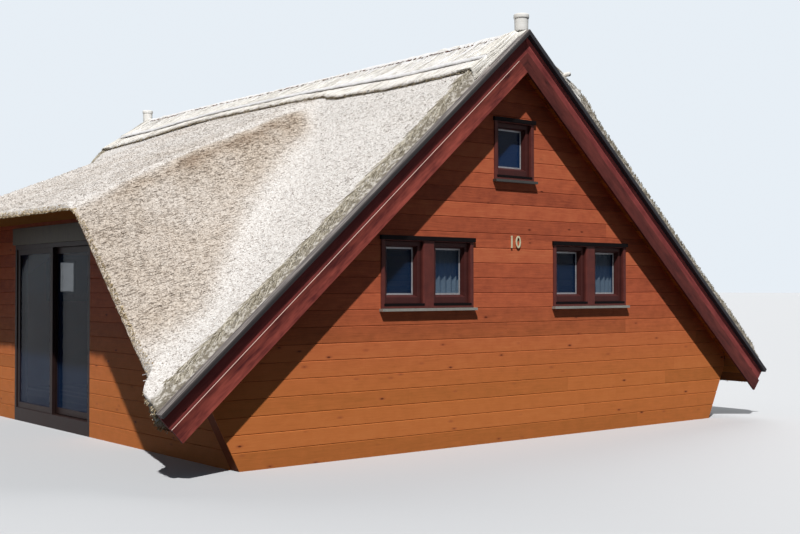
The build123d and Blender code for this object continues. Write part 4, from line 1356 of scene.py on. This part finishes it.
eave_straw = reed_straw_finish("eave_reed", (120, 98, 66), (196, 176, 142), (236, 226, 206))
for side, name in SIDES:
    make_piece(f"eave_ends_{name}", eave_straw, "reed_thatch", *eave_fringe(side, 31 + side))

# ---- Ridge ----

ridge_reed = cap_finish()
under_layer = cap_layer(True, VERGE_END, 41)
make_piece("cap_under_layer", ridge_reed, "ridge_reed", *under_layer, ("ridge_cap_lower",), smooth=True)
top_layer = cap_layer(False, CAP_UPPER_END, 45)
make_piece("cap_top_layer", ridge_reed, "ridge_reed", *top_layer, ("ridge_cap_upper",), smooth=True)

cap_straw = reed_straw_finish("ridge_straw", (166, 157, 144), (232, 228, 221), (252, 250, 247), 0.3)
make_piece("cap_edge_roll", cap_straw, "ridge_reed", *edge_roll(), smooth=True)
make_piece("ridge_bundle", cap_straw, "ridge_reed", *ridge_bundle(), ("ridge_roll",), smooth=True)
make_piece("cap_stems", cap_straw, "ridge_reed", *cap_stems(71, 9000))
# Darker than the cap's reed: the cut ends' own colour, with painted shade under the cap's lip.
edge_straw_with_painted_shade = reed_straw_finish("cap_edge_reed", (70, 60, 48), (160, 146, 122), (232, 222, 202), 0.1)
make_piece("cap_edge_ends", edge_straw_with_painted_shade, "ridge_reed", *cap_edge_ends(81, 480))
twine = reed_straw_finish("tarred_twine", (58, 34, 26), (104, 66, 50), (140, 98, 78), 0.02)
make_piece("ridge_stitches", twine, "ridge_reed", *ridge_stitches(91))

clay = clay_finish()
for end, name in ENDS:
    make_piece(f"clay_pot_{name}", clay, "clay_pot", clay_pot(end), None, (f"ridge_pot_{name}",), smooth=True)
    make_piece(f"pot_bed_{name}", cap_straw, "ridge_reed", *pot_bed(end), smooth=True)

# ---- Walls ----

gable_boards = board_finish("gable_boards", (226, 137, 92), (200, 104, 71), (150, 74, 54), (76, 34, 24))
dark_core = joinery_finish("wall_core", (150, 80, 50), (112, 56, 36), 0.6)


def gable_limits(height):
    """Edges of a gable at a height: leaning out from the ground, then following the rakes."""
    half = min(WALL_FOOT_HALF + WALL_LEAN * height, (WALL_APEX - height) / SLOPE)
    return -half, half


def terrace_limits(end):
    """Edges of the terrace wall beside the door, at a height, under the raised eave's falling side."""

    def limits(height):
        under_eave = RAISED_FOOT - (height + 0.02) / SIDE_FALL
        far = min(GABLE_INSIDE, under_eave) if height > TERRACE_WALL_BEND else GABLE_INSIDE
        return (DOOR_HALF, far) if end > 0 else (-far, -DOOR_HALF)

    return limits


def level_limits(half):
    """Upright edges this far from the middle of the house."""
    return lambda height: (-half, half)


holes = [(m - w / 2, m + w / 2, s, s + h) for m, s, w, h, _ in WINDOWS.values()]
for end, name in ENDS:
    wall = (f"{name}_boards", f"{name}_wall_core", f"{name}_wall", True, end, gable_limits)
    clad_wall(*wall, WALL_APEX - 0.002, 101 + end, holes)
for end, name in ENDS:
    wall = (f"left_wall_{name}_boards", f"left_wall_{name}_core", f"left_wall_{name}", False, -1)
    clad_wall(*wall, terrace_limits(end), TERRACE_WALL_TOP, 111 + end)
wall = ("over_door_boards", "over_door_core", "left_wall_over_door", False, -1, level_limits(DOOR_HALF))
clad_wall(*wall, OVER_DOOR_TOP, 121, bottom=DOOR_HEAD)
wall = ("right_boards", "right_wall_core", "right_wall", False, 1, level_limits(GABLE_INSIDE))
clad_wall(*wall, RIGHT_WALL_TOP, 131)

# ---- Windows ----

recess = HALF_LENGTH + WINDOW_PROUD - SHADE_SETBACK
window_wood = joinery_finish("window_paint", (116, 60, 53), (76, 38, 37), 0.36, recess)
trim_dark = joinery_finish("dark_trim", (16, 8, 10), (7, 4, 5), 0.85)
spacer_metal = sheet_finish("spacer_metal", (188, 186, 188), (150, 148, 150), 0.4, 0.45)
for end, name in ENDS:
    spacers, trims = [], []
    for window, sizes in WINDOWS.items():
        joinery, spacer, trim = window_shapes(*sizes, end)
        wood = (window_wood, "window_joinery", joinery, None, (f"{name}_{window}",))
        make_piece(f"{name}_{window}_joinery", *wood)
        spacers.append(spacer)
        trims.append(trim)
    make_piece(f"{name}_glazing_spacers", spacer_metal, "metal_sill", join_shapes(spacers))
    make_piece(f"{name}_window_trims", trim_dark, "window_joinery", join_shapes(trims))

curtain_cloth = cloth_finish()
curtain_piece("curtain_left_window", -1.09, -0.70, 1.0, curtain_cloth)
curtain_piece("curtain_right_window", 1.70, 2.02, 2.0, curtain_cloth)

# ---- Materials of the CAD pieces ----


def dress(material, *names):
    """Gives CAD pieces a finish."""
    for name in names:
        nodes[name].data.materials.clear()
        nodes[name].data.materials.append(material)


# Right of the ridge the upper board is painted 3 times lighter in the flashing's shadow, as painted light.
upper_stain = verge_board_finish("upper_verge_board", (146, 72, 69), (96, 44, 44), right_painted_light_tones=(3.0, 1.25))
left_tones = (0.66, 1.18)
left_stain = verge_board_finish("left_verge_board", (176, 88, 76), (92, 42, 42), LOWER_BOARD_TOP, left_tones)
right_stain = verge_board_finish("right_verge_board", (120, 62, 57), (76, 38, 36), tones=(1.15, 0.80))
flashing_sheet = flashing_finish()
glass = glass_finish()
sill_sheet = sheet_finish("sill_sheet", (160, 158, 150), (126, 124, 117), loft_tone=0.16)
for _, name in ENDS:
    dress(upper_stain, f"{name}_upper_bargeboard")
    dress(left_stain, f"{name}_left_lower_bargeboard")
    dress(right_stain, f"{name}_right_lower_bargeboard")
    dress(flashing_sheet, f"{name}_verge_flashing")
    dress(glass, f"{name}_window_glass")
    dress(sill_sheet, f"{name}_window_sills")
dress(glass, "fixed_leaf_glass", "sliding_leaf_glass")
dress(paint_finish(), "house_number")
dress(steel_finish(), "door_handle")
terrace_paint = joinery_finish("terrace_paint", (52, 36, 33), (32, 22, 22))
dress(terrace_paint, "terrace_door_frame", "fixed_leaf", "sliding_leaf")
dress(joinery_finish("header_paint", (112, 102, 86), (82, 74, 62)), "door_header_box")
lining = plank_finish("roof_boarding", (206, 118, 44), (142, 72, 22), 0.12)
dress(lining, "roof_lining_left", "roof_lining_right", "dormer_lining")
dress(plank_finish("floor_boards", (196, 156, 112), (150, 110, 72), 0.14), "floor")

# ---- Studio ----


def studio():
    """Pale floor, even sky light, one soft key lamp from the upper left, a fill lamp, and the camera."""
    mesh = bpy.data.meshes.new("studio_floor")
    reach = 400.0
    corners = [(-reach, -reach, 0), (reach, -reach, 0), (reach, reach, 0), (-reach, reach, 0)]
    mesh.from_pydata(corners, [], [(0, 1, 2, 3)])
    ground = Finish("pale_floor", Roughness=0.9, Specular_IOR_Level=0.1)
    seen, glossy, through = ground.rays()
    shown = ground.mix(seen + glossy + through, grey(0.045), (0.57, 0.58, 0.60, 1.0))
    ground.feed(ground.shader.inputs["Base Color"], shown)
    mesh.materials.append(ground.material)
    link_object("studio_floor", mesh)

    world = bpy.data.worlds.new("studio")
    bpy.context.scene.world = world
    world.use_nodes = True
    sky = Nodes(world.node_tree)
    seen, glossy, through = sky.rays()
    shown = seen.math("MAXIMUM", seen.math("MAXIMUM", seen, glossy), through)
    light = sky.node("ShaderNodeBackground", {}, {"Color": (0.58, 0.80, 1.0, 1.0), "Strength": 0.10})
    backdrop = sky.node("ShaderNodeBackground", {}, {"Color": (0.80, 0.86, 0.92, 1.0), "Strength": 1.0})
    mixed = sky.node("ShaderNodeMixShader", {}, {0: shown, 1: light, 2: backdrop})
    sky.feed(sky.tree.nodes.new("ShaderNodeOutputWorld").inputs["Surface"], mixed)

    for name, energy, softness, (x, y, z) in (
        ("key", 3.9, 0.9, (-0.87, -1.0, 1.84)),
        ("back_fill", 1.5, 40.0, (1.0, 0.8, 0.9)),
    ):
        lamp = bpy.data.lights.new(name, "SUN")
        lamp.energy = energy
        lamp.angle = math.radians(softness)
        lamp.color = (1.0, 0.985, 0.96)
        stand = link_object(name, lamp)
        stand.rotation_euler = (math.atan2(math.hypot(x, y), z), 0, math.atan2(x, -y))

    lens = bpy.data.cameras.new("camera")
    lens.sensor_width = 36
    lens.lens = 52.27
    lens.clip_end = 500
    camera = link_object("camera", lens)
    camera.location = (-9.9676, -14.9117, 1.8478)
    camera.rotation_euler = (math.radians(91.044), 0, math.radians(-38.96))
    bpy.context.scene.camera = camera
    bpy.context.scene.view_settings.view_transform = "Standard"


studio()
